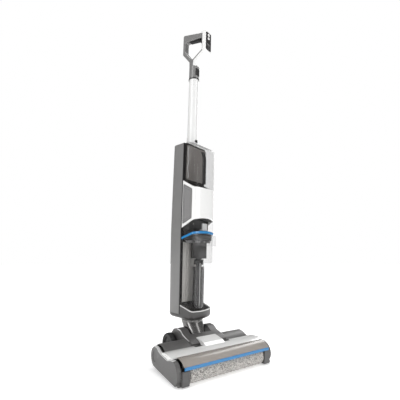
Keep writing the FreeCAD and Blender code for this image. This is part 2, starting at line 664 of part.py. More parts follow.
def make_cover():
    """White brush cover, clear window, blue strip and the two release buttons."""
    front, rear = float(S.cover_front), float(S.cover_rear)
    wall = float(S.cover_wall)
    half = float(HALF) - 0.5
    crown = [(front, 59), (front + 28, 61), (rear, 58)]
    top = Part.Arc(*[Vector(0, y, z) for y, z in crown]).toShape()
    low = Part.Arc(*[Vector(0, y, z - wall) for y, z in crown]).toShape()
    ends = [Part.makeLine(top.Vertexes[i].Point, low.Vertexes[i].Point) for i in (0, 1)]
    skin = face_across(Part.Face(Part.Wire(Part.__sortEdges__([top, low] + ends))), -half, half)
    rib = across([(front + 0.5, 57), (front + 9, 57.6), (rear - 2, 56.4), (rear - 2, 54.6), (-72.5, 51.2),
                  (-77, 50), (front + 9, 54.5), (front + 0.5, 56.6)], half - 8, half)
    fairing = across([(front + 26, 59.5), (front + 42, 66.5), (-33.5, 70.5), (-18.5, 72.5), (-18.5, 69.5),
                      (-29.5, 66.5), (-39, 61), (-45, 57)], -34, 34)
    cover = skin.fuse([rib, mirrored(rib), fairing])
    gap = float(S.fit_gap)
    wide, deep = float(S.button_width) / 2, float(S.button_depth)
    button_rear = rear - 3.5
    for side in (-1, 1):
        x = side * float(S.button_x)
        cover = cover.cut(block((x - wide, button_rear - deep, 40), (x + wide, button_rear, 80)))
        shelf = block((x - wide - 2, button_rear - deep - 2, 51.2), (x + wide + 2, button_rear + 2, 52.4))
        walls = block((x - wide - 2, button_rear - deep - 2, 52.4), (x + wide + 2, button_rear + 2, 57))
        walls = walls.cut(block((x - wide, button_rear - deep, 52), (x + wide, button_rear, 80)))
        cover = cover.fuse([shelf, walls])
    keep("brush_cover", cover.removeSplitter())

    z = float(S.strip_z)
    strip_top = z + float(S.strip_height)
    depth = float(S.strip_depth)
    nose = float(S.front_y)
    wall = float(S.window_wall)
    reach = CAP_INNER - 3
    points = [(nose + 1, strip_top + 0.5), (nose + 13, 56), (front, 59)]
    outer = Part.Arc(*[Vector(0, y, z_) for y, z_ in points]).toShape()
    inner = Part.Arc(Vector(0, nose + 1 + wall, strip_top + 0.5), Vector(0, nose + 14.4, 54.2),
                     Vector(0, front, 59 - wall)).toShape()
    ends = [Part.makeLine(outer.Vertexes[i].Point, inner.Vertexes[i].Point) for i in (0, 1)]
    pane = Part.Face(Part.Wire(Part.__sortEdges__([outer, inner] + ends)))
    keep("window", face_across(pane, -reach, reach))

    bumper = slab("bumper_strip", "YZ_Plane",
                  [(nose, z), (nose + depth, z), (nose + depth, strip_top), (nose, strip_top)],
                  S.strip_length, both_ways=True)
    fillet(bumper, 0.8, lies_along(X_AXIS))
    tab = new_sketch(bumper, "YZ_Plane")
    rectangle(tab, (nose + 1.2, strip_top - 1), (nose + depth - 0.4, strip_top + 0.5))
    pad(bumper, tab, S.strip_length - 6, both_ways=True)

    for name, side in (("left", -1), ("right", 1)):
        x = S.button_x * side
        edge = S.cover_rear - 3.5 - gap
        near = S.cover_rear - 3.5 - S.button_depth + gap
        reach = S.button_width / 2 - gap
        key = new_body(f"release_button_{name}")
        face = new_sketch(key, "XY_Plane", 54.8)
        rectangle(face, (x - reach, near), (x + reach, edge))
        pad(key, face, 4.6)
        fillet(key, 1.5, lies_along(Z_AXIS))


# ---------------------------------------------------------------- neck

def make_neck():
    """The neck tube with its hinge barrel, and on its top the ring that the body turns on."""
    up = LEAN.multVec(Z_AXIS)
    top = SWIVEL - up * 2
    foot = HINGE + at(0, 4, 11)
    slope = (top - foot).normalize()

    def ring(centre, normal, radius):
        return Part.Wire(Part.Edge(Part.Circle(centre, normal, float(radius))))

    under = top - up * float(S.collar_height)
    shell = Part.makeLoft([ring(foot, slope, S.neck_bottom), ring(under, up, S.neck_top)], True)
    collar = Part.makeCylinder(float(S.neck_top), float(S.collar_height), under, up)
    barrel = rod(S.barrel_radius, -(S.slot_half - 1), S.slot_half - 1, S.hinge_y, S.hinge_z)
    duct = Part.makeLoft([ring(HINGE, slope, S.neck_duct), ring(under, up, S.neck_duct)], True)
    seat = Part.makeCylinder(float(S.spigot_radius + S.run_gap), float(S.spigot_length) + 1,
                             top - up * float(S.spigot_length), up)
    mouth = rod(9, -20, 20, S.hinge_y, S.hinge_z)
    pins = rod(S.hinge_pin + S.run_gap, -60, 60, S.hinge_y, S.hinge_z)
    ring_height = 1.6
    lip = Part.makeCylinder(float(S.neck_top) - 1.5, ring_height + 1, top - up, up)
    lip = lip.cut(Part.makeCylinder(float(S.spigot_radius) + 1, 5, top - up * 2, up))
    neck = shell.fuse([collar, barrel, lip]).cut([duct, seat, mouth, pins])
    keep("neck_tube", neck.removeSplitter())


# ---------------------------------------------------------------- body: shells

SHELL_FOOT = [(-8, 18), (-2.5, 44), (0, 104)]  # behind the back plane, above the cup step
SHELL_SHOULDER = [(2, -20), (-2, 12), (-10.5, 34)]  # about the ceiling of the recess
SHELL_TOP_IN = 16


def back_outline(inset=0.0):
    """The back shell's side face, from the seam to the back, (y, height)."""
    low = float(S.cup_step) + float(S.fit_gap) + inset
    seam = float(S.seam_y)
    back = float(S.body_rear) - inset
    top = float(CLEAN_TOP) - inset
    points = [(y + back, z + float(S.cup_step)) for y, z in SHELL_FOOT]
    points += [(y + back, z + float(BLOCK_BOTTOM)) for y, z in SHELL_SHOULDER]
    points.append((back - SHELL_TOP_IN, top))
    curve = Part.BSplineCurve()
    curve.interpolate([Vector(0, points[0][0] - 5, low)] + [Vector(0, y, z) for y, z in points[:3]])
    bend = Part.BSplineCurve()
    bend.interpolate([Vector(0, y, z) for y, z in points[3:6]])
    spots = [curve.EndPoint, bend.StartPoint, bend.EndPoint, Vector(0, points[-1][0], top),
             Vector(0, seam, top), Vector(0, seam, low), curve.StartPoint]
    edges = [curve.toShape(), Part.makeLine(spots[0], spots[1]), bend.toShape()]
    edges += [Part.makeLine(spots[i], spots[i + 1]) for i in range(2, 6)]
    return Part.Face(Part.Wire(edges))


def make_shells():
    """Base cup, rim, back shell, spine frame, front band and side inlays."""
    half = float(S.body_half)
    seam = float(S.seam_y)
    gap = float(S.fit_gap)
    step, cup_top = float(S.cup_step), float(S.cup_top)
    bottom = float(S.cup_bottom)
    spine_front = seam - float(S.spine_thick)

    turn = float(S.cup_round)
    sections = []
    for angle in (0, 22.5, 45, 67.5, 90):
        slope = math.radians(angle)
        face = PLAN.makeOffset2D(turn * (math.sin(slope) - 1), 0) if angle < 90 else PLAN
        sections.append(plan_at(face, bottom + turn * (1 - math.cos(slope))).OuterWire)
    sections.append(plan_at(PLAN, step).OuterWire)
    pan = Part.makeLoft(sections, True, True)
    heel = float(S.body_rear)
    pan = pan.common(across([(-99, 0), (heel - 32, bottom), (heel - 21, bottom + 4), (heel - 13.5, step),
                             (-99, step)], -99, 99))
    front_cup = body_plan(0, step, cup_top + 9).common(under_line(RIM_LINE))
    hollow = body_plan(3, step - 4, cup_top + 10).common(block((-90, -90, 0), (90, spine_front - 3, 99)))
    spigot = post(S.spigot_radius, 1 - float(S.spigot_length), bottom + 1)
    flange = post(S.neck_top - 2, 0.2, bottom + 1)
    duct = post(S.neck_duct, -20, step - 1)
    cup = pan.fuse([front_cup, spigot, flange]).cut([hollow, duct])
    keep("base_cup", cup, IN_BODY)

    ring = body_plan(0, step, cup_top + 12).cut(body_plan(5, step, cup_top + 12))
    ring = ring.common(block((-90, -90, 0), (90, spine_front - 0.2, 99)))
    ring = ring.common(under_line(RIM_LINE, gap / 2 + float(S.rim_height))).cut(under_line(RIM_LINE))
    keep("cup_rim", ring, IN_BODY)

    wall = float(S.body_wall)
    outer = face_across(back_outline(), -half - 1, half + 1).common(body_plan(0, 0, 700))
    inner = face_across(back_outline(wall), -half, half).common(body_plan(wall, 0, 700))
    inner = inner.fuse(inner.translated(Vector(0, -wall, 0)))
    keep("back_shell", outer.cut(inner), IN_BODY)

    top = float(CLEAN_TOP)
    base = step + gap
    plate = body_plan(0, base, top).common(block((-half, spine_front, base), (half, seam - 0.1, top)))
    deep = float(S.recess_depth)
    under = float(BLOCK_BOTTOM)
    band_top = float(BAND_TOP) - 1
    inset = float(S.band_wall) + gap
    core = body_plan(inset, under, band_top).common(block((-90, -90, 0), (90, spine_front + 1, 999)))
    core = core.cut(body_plan(inset + 3, under + 3, band_top - 3).common(
        block((-90, -90, 0), (90, spine_front, 999))))
    shelf_low = float(LID_TOP) + 2
    alcove = body_plan(inset + 1, shelf_low, under + 1).common(
        block((-90, deep - float(S.body_front), 0), (90, spine_front + 1, 999)))
    riser = block((-half + 6, float(S.clean_back) + gap, float(WING_TOP)), (half - 6, spine_front + 1, top))
    spine = plate.fuse([core, alcove, riser])
    spine = spine.cut(block((-14, spine_front - 3, under + 30), (14, seam + 1, under + 60)))
    keep("spine_frame", spine, IN_BODY)

    low, high = float(WING_BOTTOM) - 5, float(WING_TOP) + 5
    panel = [(spine_front - 1.5, float(WING_BOTTOM) + 10), (-34, float(BAND_BOTTOM) + 5),
             (-34, float(BAND_TOP) - 6), (spine_front - 1.5, float(WING_TOP) - 11)]
    shell = body_plan(0, low, high).cut(body_plan(float(S.band_wall), low - 1, high + 1))
    shell = shell.common(block((-99, -99, low), (99, spine_front - 0.2, high)))
    band = shell.common(under_line(BAND_HIGH_LINE)).cut(under_line(BAND_LOW_LINE))
    sunk = body_plan(-1, low, high).cut(body_plan(1.5, low - 1, high + 1)).common(across(panel, -99, 99))
    keep("front_band", band.cut(sunk).removeSplitter(), IN_BODY)
    inlay_face = rounded_face(panel, 4).makeOffset2D(-0.3, 2)
    inlay = body_plan(0.4, low, high).cut(body_plan(1.5, low - 1, high + 1))
    inlay = inlay.common(face_across(inlay_face, 0, 99))
    keep("side_inlays", Part.makeCompound([inlay, mirrored(inlay)]), IN_BODY)


def make_works():
    """Battery, suction motor, pump and circuit board inside the body."""
    behind = S.seam_y + 6
    battery = slab("battery_pack", "XY_Plane",
                   [(-S.battery_width / 2, behind), (S.battery_width / 2, behind),
                    (S.battery_width / 2, behind + S.battery_depth),
                    (-S.battery_width / 2, behind + S.battery_depth)],
                   S.battery_height, IN_BODY, offset=S.cup_step + 30)
    fillet(battery, 6, lies_along(Z_AXIS))

    fan = new_body("suction_motor", IN_BODY)
    low = S.cup_step + 30 + S.battery_height + 12
    sketch = new_sketch(fan, "XY_Plane", low)
    circle(sketch, (0, behind + S.fan_radius), S.fan_radius)
    pad(fan, sketch, S.fan_height)
    eye = new_sketch(fan, "XY_Plane", low)
    circle(eye, (0, behind + S.fan_radius), S.fan_radius * 0.4)
    pocket(fan, eye, 12, reverse=True)

    pump = new_body("water_pump", IN_BODY)
    sketch = new_sketch(pump, "XY_Plane", BLOCK_BOTTOM + 20)
    circle(sketch, (-20, -20), S.pump_radius)
    pad(pump, sketch, S.pump_length)

    board_low = BAND_TOP - 45
    board_top = board_low + S.board_height
    slab("circuit_board", "XZ_Plane",
         [(-S.board_width / 2, board_low), (S.board_width / 2, board_low),
          (S.board_width / 2, board_top), (-S.board_width / 2, board_top)],
         1.6, IN_BODY, offset=-(S.seam_y + 8))


# ---------------------------------------------------------------- body: tanks

def make_dirty_tank():
    """The lower tank with its lid, blue ring, visor, filter, standpipe, float and latch."""
    gap = float(S.fit_gap)
    high = float(TANK_HIGH)
    wall = float(S.body_wall)
    back = float(S.seam_y) - float(S.spine_thick) - gap
    base = float(S.cup_step)
    on_rim = under_line(RIM_LINE, gap + gap / 2 + float(S.rim_height))
    on_floor = under_line(RIM_LINE, gap + gap / 2 + float(S.rim_height) + 3)
    outer = body_plan(0.3, base, high + 9, back).cut(on_rim).common(under_line(RING_LINE))
    inner = body_plan(0.3 + wall, base, high + 12, back).cut(on_floor)
    keep("dirty_tank", outer.cut(inner), IN_BODY)

    ring_top = float(RING_TOP)
    tall = float(S.ring_height)
    ring = body_plan(0, high - 20, ring_top + 6, back).cut(body_plan(5, high - 21, ring_top + 7, back))
    keep("lid_ring", ring.common(under_line(RING_LINE, tall)).cut(under_line(RING_LINE)), IN_BODY)

    sides = body_plan(0.3, high - 16, float(BAND_BOTTOM), back).cut(
        body_plan(0.3 + wall, high - 17, float(BAND_BOTTOM) + 1))
    sides = sides.cut(under_line(RING_LINE, tall)).common(under_line(BAND_LOW_LINE, -1))
    rear_only = block((-99, float(S.front_bow) - float(S.body_front) + 2, 0), (99, back, 999))
    sides = sides.common(rear_only).cut(block((-35, -99, 0), (35, 99, 999)))
    keep("lid_sides", sides, IN_BODY)

    bore = float(S.standpipe_radius)
    lid = body_plan(5.05, high - 20, float(LID_TOP), back).cut(body_plan(7.5, high - 21, high - 4, back))
    cage = block((-20, -40, high - 78), (20, -6, high - 4)).cut(
        post(S.float_radius + 1, high - 90, high - 34, 0, -23))
    lid = lid.fuse(cage).cut(post(bore, high - 90, high - 20, 0, -23))
    keep("tank_lid", lid, IN_BODY)

    reach = float(S.visor_reach)
    front = -float(S.body_front)
    skin = 2.5
    brow = [(front + 13, high - 1), (front, high - 3), (front - 8, high - 12), (front - reach, high - 26),
            (front - reach, high - 37), (front + 13, high - 37)]
    under = [(front + 13, high - 1 - skin), (front + 1, high - 3 - skin), (front - 6, high - 14),
             (front + skin - reach, high - 27), (front + skin - reach, high - 40), (front + 13, high - 40)]
    hood = body_plan(0, high - 37, high - 1, back).translated(Vector(0, -reach, 0))
    hollow = body_plan(0, high - 40, high - 1, back).translated(Vector(0, skin - reach, 0))
    half_front = float(S.body_half) - float(S.front_taper) - 3
    hood = hood.common(across(brow, -half_front, half_front)).cut(hollow.common(across(under, -99, 99)))
    keep("pour_visor", hood.cut(body_plan(0.3, high - 41, high + 1)), IN_BODY)

    filter_low = high - 27
    filter_block = body_plan(8, filter_low, filter_low + float(S.filter_height), back)
    filter_block = filter_block.cut(block((-21, -41, 0), (21, -5, 999)))
    keep("tank_filter", filter_block, IN_BODY)

    pipe = post(bore, base, high - 20, 0, -23)
    column = float(S.column_radius)
    column_top = high - 105
    pipe = pipe.fuse(post(column, base, column_top, 0, -23))
    for angle in (45, 135, 225, 315):
        rib = block((column - 0.5, -0.8, base), (column + 2, 0.8, column_top))
        rib.rotate(Vector(0, 0, 0), Z_AXIS, angle)
        pipe = pipe.fuse(rib.translated(Vector(0, -23, 0)))
    pipe = pipe.cut([on_floor, post(bore - 2, base, high, 0, -23)])
    keep("standpipe", pipe.removeSplitter(), IN_BODY)

    rest = high - 98
    ball = post(S.float_radius, rest, rest + 16, 0, -23).cut(post(bore + 0.6, rest - 1, rest + 20, 0, -23))
    keep("float_ring", ball, IN_BODY)

    latch = block((-13, front + 6, ring_top + 6.2), (13, front + 20, ring_top + 9.2))
    latch = latch.fuse(block((-11, front + 7, ring_top + 9.2), (11, front + 12, ring_top + 30)))
    keep("tank_latch", latch.removeSplitter(), IN_BODY)


def make_clean_tank():
    """The upper water tank, hollow and sloped at its brow, with its filler cap."""
    gap = float(S.fit_gap)
    back = float(S.clean_back)
    low = float(BAND_TOP) + gap + 1
    seat = gap + 1
    inset = float(S.band_wall) + gap

    def solid(wall):
        tucked = body_plan(inset + wall, low + wall, float(WING_TOP) + 10, back + inset)
        full = body_plan(0.2 + wall, low, float(CLEAN_TOP) + 9, back + 0.2)
        brow = float(BROW) - wall
        top = float(CLEAN_TOP) - 1 - wall
        crown = [(back + 2, 300), (-90, 300), (-90, brow - 20), (-float(S.body_front) + wall, brow),
                 (-45, brow + 22), (-30, top - 6), (-12, top), (back + 2, top)]
        return tucked.fuse(full.cut(under_line(BAND_HIGH_LINE, seat))).common(across(crown, -199, 199))

    tank = solid(0).cut(solid(2.5)).cut(post(15, low - 5, low + 5, 0, -25))
    keep("clean_tank", tank.removeSplitter(), IN_BODY)
    cap = post(14.7, low - 0.1, low + 8, 0, -25).cut(post(11, low + 3, low + 9, 0, -25))
    keep("tank_cap", cap, IN_BODY)


# ---------------------------------------------------------------- handle

LOOP = [(57, 170), (-47, 128), (-52, 119), (-52, 46), (-8, 26), (-3.8, -10), (17.5, -10), (19, 30),
        (57, 80)]
HOLE = [(44, 132), (-42, 110), (-46, 58), (0, 37), (12, 42), (44, 88)]
TRIGGER_PIVOT = (20, 124.5)


def handle_points(points):
    """Points given from the tube's axis and the top of the stem, in the body's frame."""
    return [(y + float(S.tube_y), z + float(STEM_TOP)) for y, z in points]


def rounded_face(points, radius):
    """A polygon face with its corners rounded."""
    face = side_face(points)
    small = face.makeOffset2D(-radius, 2)
    return small.makeOffset2D(radius, 0)


def handle_half(side):
    """One half of the loop handle with its half of the stem and spigot."""
    half = float(S.grip_half)
    outer = rounded_face(handle_points(LOOP), 6)
    hole = rounded_face(handle_points(HOLE), 5)
    loop = face_across(outer.cut(hole), 0, half)
    rims = [edge for edge in loop.Edges
            if all(abs(vertex.X - half) < 0.01 for vertex in edge.Vertexes)]
    loop = loop.makeFillet(3, rims)
    y = float(S.tube_y)
    tube_top = float(TUBE_TOP)
    stem = post(STEM_RADIUS, tube_top + 0.3, STEM_TOP, 0, y)
    spigot = post(S.tube_radius - S.tube_wall - 0.1, tube_top - 26, tube_top + 1, 0, y)
    stem = stem.fuse(spigot).common(block((0, -99, 0), (99, 199, 1999)))
    shoulder = Part.makeCone(float(STEM_RADIUS), half, float(S.shoulder_height), at(0, y, STEM_TOP))
    shoulder = shoulder.common(block((0, y - 3.8, STEM_TOP), (99, 199, 1999)))
    slot = across(handle_points([(26, 147), (-33, 124), (-44, 103), (-42, 96), (30, 110)]), -1,
                  float(S.trigger_width) / 2 + 0.4)
    slot = slot.cut(across(handle_points([(60, 104), (-60, 51), (-60, -15), (60, -15)]), -2, 30))
    well = block((-1, y - float(STEM_RADIUS) - 10, tube_top + 10.5),
                 (10.4, y - float(STEM_RADIUS) + 4.5, tube_top + 39.5))
    bore = rod(S.trigger_pin + S.run_gap, -1, half - 2.4, *handle_points([TRIGGER_PIVOT])[0])
    solid = loop.fuse([stem, shoulder]).cut([slot, well, bore])
    return solid.removeSplitter() if side > 0 else mirrored(solid.removeSplitter())


def make_handle():
    """Socket, white tube, collar, loop, bezel, control panel, buttons and trigger."""
    y = S.tube_y
    top = CLEAN_TOP
    socket_top = top + S.socket_height
    place = Placement(IN_BODY.multVec(at(0, y, 0)), IN_BODY.Rotation)
    socket = turned("tube_socket", place,
                    [(0, top + 0.2), (SOCKET_RADIUS, top + 0.2), (SOCKET_RADIUS, top + 12),
                     (S.tube_radius + 1.6, socket_top), (S.tube_radius + 0.1, socket_top),
                     (S.tube_radius + 0.1, top + 8), (0, top + 8)])
    key_height = top + 20
    window = new_sketch(socket, "XZ_Plane", S.tube_radius - 3)
    rectangle(window, (-6.3, key_height - 5.3), (6.3, key_height + 5.3))
    pocket(socket, window, 9, reverse=True)
    turned("handle_tube", place,
           [(S.tube_radius - S.tube_wall, top + 8.2), (S.tube_radius, top + 8.2),
            (S.tube_radius, TUBE_TOP), (S.tube_radius - S.tube_wall, TUBE_TOP)])
    turned("tube_collar", place,
           [(S.tube_radius + 0.05, TUBE_TOP - 5), (COLLAR_RADIUS - 1, TUBE_TOP - 5),
            (COLLAR_RADIUS, TUBE_TOP - 4), (COLLAR_RADIUS, TUBE_TOP - 1),
            (COLLAR_RADIUS - 1, TUBE_TOP), (S.tube_radius + 0.05, TUBE_TOP)])
    keep("handle_left", handle_half(-1), IN_BODY)
    keep("handle_right", handle_half(1), IN_BODY)

    half = float(S.bezel_half)
    face = -52.2 - float(S.bezel_depth)
    wall = float(S.bezel_wall)
    head = [(-47.2, 128.4), (-52.2, 119.2), (-52.2, 45.8), (-8.4, 25.6), (-5.4, 0.4), (-22, 0.4),
            (face, 40), (face, 121), (face + 3, 125)]
    shell = across(handle_points(head), -half, half)
    rims = [edge for edge in shell.Edges
            if all(abs(abs(vertex.X) - half) < 0.01 for vertex in edge.Vertexes)
            and abs(edge.Vertexes[0].X - edge.Vertexes[1].X) < 0.01]
    cavity = across(handle_points([(-50, 52), (face + wall, 52), (face + wall, 116), (-50, 116)]),
                    1 - float(S.grip_half), float(S.grip_half) - 1)
    keep("handle_bezel", shell.makeFillet(2, rims).cut(cavity), IN_BODY)

    face_y = y - 52.2 - S.bezel_depth
    low = STEM_TOP + 44
    width = S.panel_width / 2
    panel = new_body("control_panel", IN_BODY)
    sketch = new_sketch(panel, "XZ_Plane", -face_y + 0.05)
    rectangle(sketch, (-width, low), (width, low + S.panel_height))
    pad(panel, sketch, 1.6)
    fillet(panel, 4, lies_along(Y_AXIS))
    spots = {"power_button": low + S.panel_height - 10, "mode_button": low + S.panel_height - 24}
    for height in spots.values():
        well = new_sketch(panel, "XZ_Plane", -face_y + 0.05)
        circle(well, (0, height), S.panel_button + 0.3)
        pocket(panel, well, 10, both_ways=True)
    for name, height in spots.items():
        button = new_body(name, IN_BODY)
        sketch = new_sketch(button, "XZ_Plane", -face_y + 0.9)
        circle(sketch, (0, height), S.panel_button)
        pad(button, sketch, 1.4)

    width = float(S.trigger_width) / 2
    lever = handle_points([(23, 125), (18, 120), (-24, 106), (-32, 97), (-36, 99), (-31, 111), (19, 129)])
    trigger = across(lever, -width, width)
    pivot = handle_points([TRIGGER_PIVOT])[0]
    reach = float(S.grip_half) - 2.5
    trigger = trigger.fuse([rod(4, -width, width, *pivot), rod(S.trigger_pin, -reach, reach, *pivot)])
    keep("trigger", trigger, IN_BODY)

    stem_front = float(y) - float(STEM_RADIUS)
    key_low = float(TUBE_TOP) + 11
    key = block((-10, stem_front - 1.2, key_low), (10, stem_front + 2.2, key_low + 28)).common(
        post(STEM_RADIUS + 1.2, key_low - 1, key_low + 29, 0, y))
    keep("grip_button", key, IN_BODY)

    surface = float(y) - float(S.tube_radius) - 2
    button = block((-6, surface - 1.4, float(key_height) - 5), (6, surface + 1.1, float(key_height) + 5))
    keep("tube_button", button, IN_BODY)


# ---------------------------------------------------------------- build and write

def check_and_write():
    """Make sure that every piece is sound, then write one file for each."""
    DOC.recompute()
    for item in DOC.Objects:
        if {"Invalid", "Error"} & set(item.State):
            raise RuntimeError(f"{item.Label} is {item.State}")
    for node in NODES:
        if node.Shape.isNull() or not node.Shape.isValid():
            raise RuntimeError(f"the shape of {node.Label} is not sound")
    os.makedirs("parts", exist_ok=True)
    for node in NODES:
        node.Shape.exportStep(f"parts/{node.Label}.step")
    print(len(NODES), "pieces written")


for make in (make_chassis, make_caps, make_housings, make_foot_works, make_roller, make_wheels,
             make_cover, make_neck, make_shells, make_works, make_dirty_tank, make_clean_tank, make_handle):
    make()
check_and_write()
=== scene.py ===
"""Finished look of a cordless wet and dry floor scrubber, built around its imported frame."""

import json
import logging
import math
from dataclasses import dataclass, field
from enum import Enum

import bmesh
import bpy
import numpy as np
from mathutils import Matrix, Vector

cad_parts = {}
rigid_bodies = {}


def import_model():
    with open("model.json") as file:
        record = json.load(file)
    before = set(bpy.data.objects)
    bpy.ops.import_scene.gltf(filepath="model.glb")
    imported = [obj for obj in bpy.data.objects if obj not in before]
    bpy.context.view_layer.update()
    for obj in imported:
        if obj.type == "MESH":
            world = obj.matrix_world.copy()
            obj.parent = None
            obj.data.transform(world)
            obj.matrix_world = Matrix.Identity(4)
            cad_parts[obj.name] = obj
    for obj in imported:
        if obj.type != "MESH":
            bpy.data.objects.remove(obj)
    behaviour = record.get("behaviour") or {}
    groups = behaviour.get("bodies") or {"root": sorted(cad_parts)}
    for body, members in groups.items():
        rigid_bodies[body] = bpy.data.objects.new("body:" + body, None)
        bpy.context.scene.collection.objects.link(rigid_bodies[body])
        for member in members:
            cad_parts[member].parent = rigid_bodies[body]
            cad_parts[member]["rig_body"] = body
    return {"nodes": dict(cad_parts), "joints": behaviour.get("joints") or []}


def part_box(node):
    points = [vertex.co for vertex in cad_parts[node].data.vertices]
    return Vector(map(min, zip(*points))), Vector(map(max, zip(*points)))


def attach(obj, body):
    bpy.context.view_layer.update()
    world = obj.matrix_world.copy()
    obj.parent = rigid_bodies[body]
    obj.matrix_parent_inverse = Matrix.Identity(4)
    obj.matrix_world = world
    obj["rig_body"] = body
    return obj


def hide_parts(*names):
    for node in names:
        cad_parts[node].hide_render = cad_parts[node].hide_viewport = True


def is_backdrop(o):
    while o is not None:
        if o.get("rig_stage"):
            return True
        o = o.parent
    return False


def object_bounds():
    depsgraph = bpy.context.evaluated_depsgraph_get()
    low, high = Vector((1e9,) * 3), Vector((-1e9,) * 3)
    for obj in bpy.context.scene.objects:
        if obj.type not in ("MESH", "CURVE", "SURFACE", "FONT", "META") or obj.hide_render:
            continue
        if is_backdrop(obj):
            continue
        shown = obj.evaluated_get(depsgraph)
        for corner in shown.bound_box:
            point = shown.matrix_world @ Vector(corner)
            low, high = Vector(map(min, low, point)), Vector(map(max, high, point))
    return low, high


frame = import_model()

LOG = logging.getLogger("scrubber")
MM = 0.001
DOUBLED = 1e-7        # metres: points of a new surface that are one point
NODE_DOUBLED = 2e-6   # metres: the same for a frame node's own mesh
NODE_FLAT = 0.4       # degrees: facets of a frame node that are one face
Point = tuple[float, float, float]
Colour = tuple[float, float, float]


class Pattern(Enum):
    """The fine relief that a moulded or woven surface carries."""

    POLISHED = "polished"
    SPARK = "spark"
    BRUSHED = "brushed"
    PILE = "pile"


# ------------------------------------------------------------------ shader expressions


class Socket:
    """One shader socket that can be used in Python expressions."""

    def __init__(self, shader: "Shader", link: bpy.types.NodeSocket) -> None:
        """Keep the socket and the shader that it belongs to."""
        self.shader = shader
        self.link = link

    def _math(self, operation: str, first: object, second: object = None) -> "Socket":
        """Add a Math node on two values or sockets."""
        inputs = {0: first} if second is None else {0: first, 1: second}
        return self.shader.node("ShaderNodeMath", {"operation": operation}, inputs)

    def __add__(self, other: object) -> "Socket":
        """Sum of two values."""
        return self._math("ADD", self, other)

    def __radd__(self, other: object) -> "Socket":
        """Sum with a plain number on the left."""
        return self._math("ADD", other, self)

    def __sub__(self, other: object) -> "Socket":
        """Difference of two values."""
        return self._math("SUBTRACT", self, other)

    def __rsub__(self, other: object) -> "Socket":
        """Difference with a plain number on the left."""
        return self._math("SUBTRACT", other, self)

    def __mul__(self, other: object) -> "Socket":
        """Product of two values."""
        return self._math("MULTIPLY", self, other)

    def __rmul__(self, other: object) -> "Socket":
        """Product with a plain number on the left."""
        return self._math("MULTIPLY", other, self)

    def __pow__(self, other: object) -> "Socket":
        """Power of a value."""
        return self._math("POWER", self, other)

    def clamped(self, low: float, high: float) -> "Socket":
        """The value held between two limits."""
        return self._math("MINIMUM", self._math("MAXIMUM", self, low), high)


class Shader:
    """The node tree of a material or of the world, with a single method that makes nodes."""

    def __init__(self, owner: bpy.types.ID) -> None:
        """Start an empty tree on a material or a world."""
        self.owner = owner
        owner.use_nodes = True
        self.tree = owner.node_tree
        self.tree.nodes.clear()

    def _made(self, kind: str, settings: dict[str, object] | None,
              inputs: dict[object, object] | None) -> bpy.types.Node:
        """Make one node.

        Args:
            kind: The node's type.
            settings: Attributes set first.
            inputs: Values or sockets by input name or index.

        Returns:
            The node.
        """
        made = self.tree.nodes.new(kind)
        for key, value in (settings or {}).items():
            setattr(made, key, value)
        for key, value in (inputs or {}).items():
            if isinstance(value, Socket):
                self.tree.links.new(value.link, made.inputs[key])
            else:
                made.inputs[key].default_value = value
        return made

    def node(self, kind: str, settings: dict[str, object] | None = None,
             inputs: dict[object, object] | None = None, output: object = 0) -> Socket:
        """Make one node and take one of its outputs.

        Args:
            kind: The node's type.
            settings: Attributes set first.
            inputs: Values or sockets by input name or index.
            output: The output's name or index.

        Returns:
            The chosen output as a Socket.
        """
        return Socket(self, self._made(kind, settings, inputs).outputs[output])

    def place(self) -> Socket:
        """Object coordinates, which are the frame's metres."""
        return self.node("ShaderNodeTexCoord", output="Object")

    def noise(self, where: Socket, scale: float, detail: float = 3.0) -> Socket:
        """Soft noise from 0 to 1 with about scale cells per metre."""
        return self.node("ShaderNodeTexNoise", None,
                         {"Vector": where, "Scale": scale, "Detail": detail}, "Fac")

    def stretched(self, where: Socket, scale: Point) -> Socket:
        """Coordinates scaled by different amounts on each axis."""
        return self.node("ShaderNodeMapping", None, {"Vector": where, "Scale": scale}, "Vector")

    def blend(self, share: object, first: object, second: object) -> Socket:
        """Mix two colours by a share."""
        return self.node("ShaderNodeMix", {"data_type": "RGBA"}, {0: share, 6: first, 7: second}, 2)

    def bump(self, height: Socket, strength: float, distance: float) -> Socket:
        """A normal bent by a height."""
        return self.node("ShaderNodeBump", None,
                         {"Height": height, "Strength": strength, "Distance": distance}, "Normal")

    def finish(self, surface: Socket) -> bpy.types.ID:
        """Join the surface to the output and return the material or world."""
        kind = "World" if isinstance(self.owner, bpy.types.World) else "Material"
        self._made(f"ShaderNodeOutput{kind}", None, {"Surface": surface})
        return self.owner


# ------------------------------------------------------------------ finishes


def rgba(colour: Colour) -> tuple[float, float, float, float]:
    """A colour with full alpha."""
    return (*colour, 1.0)


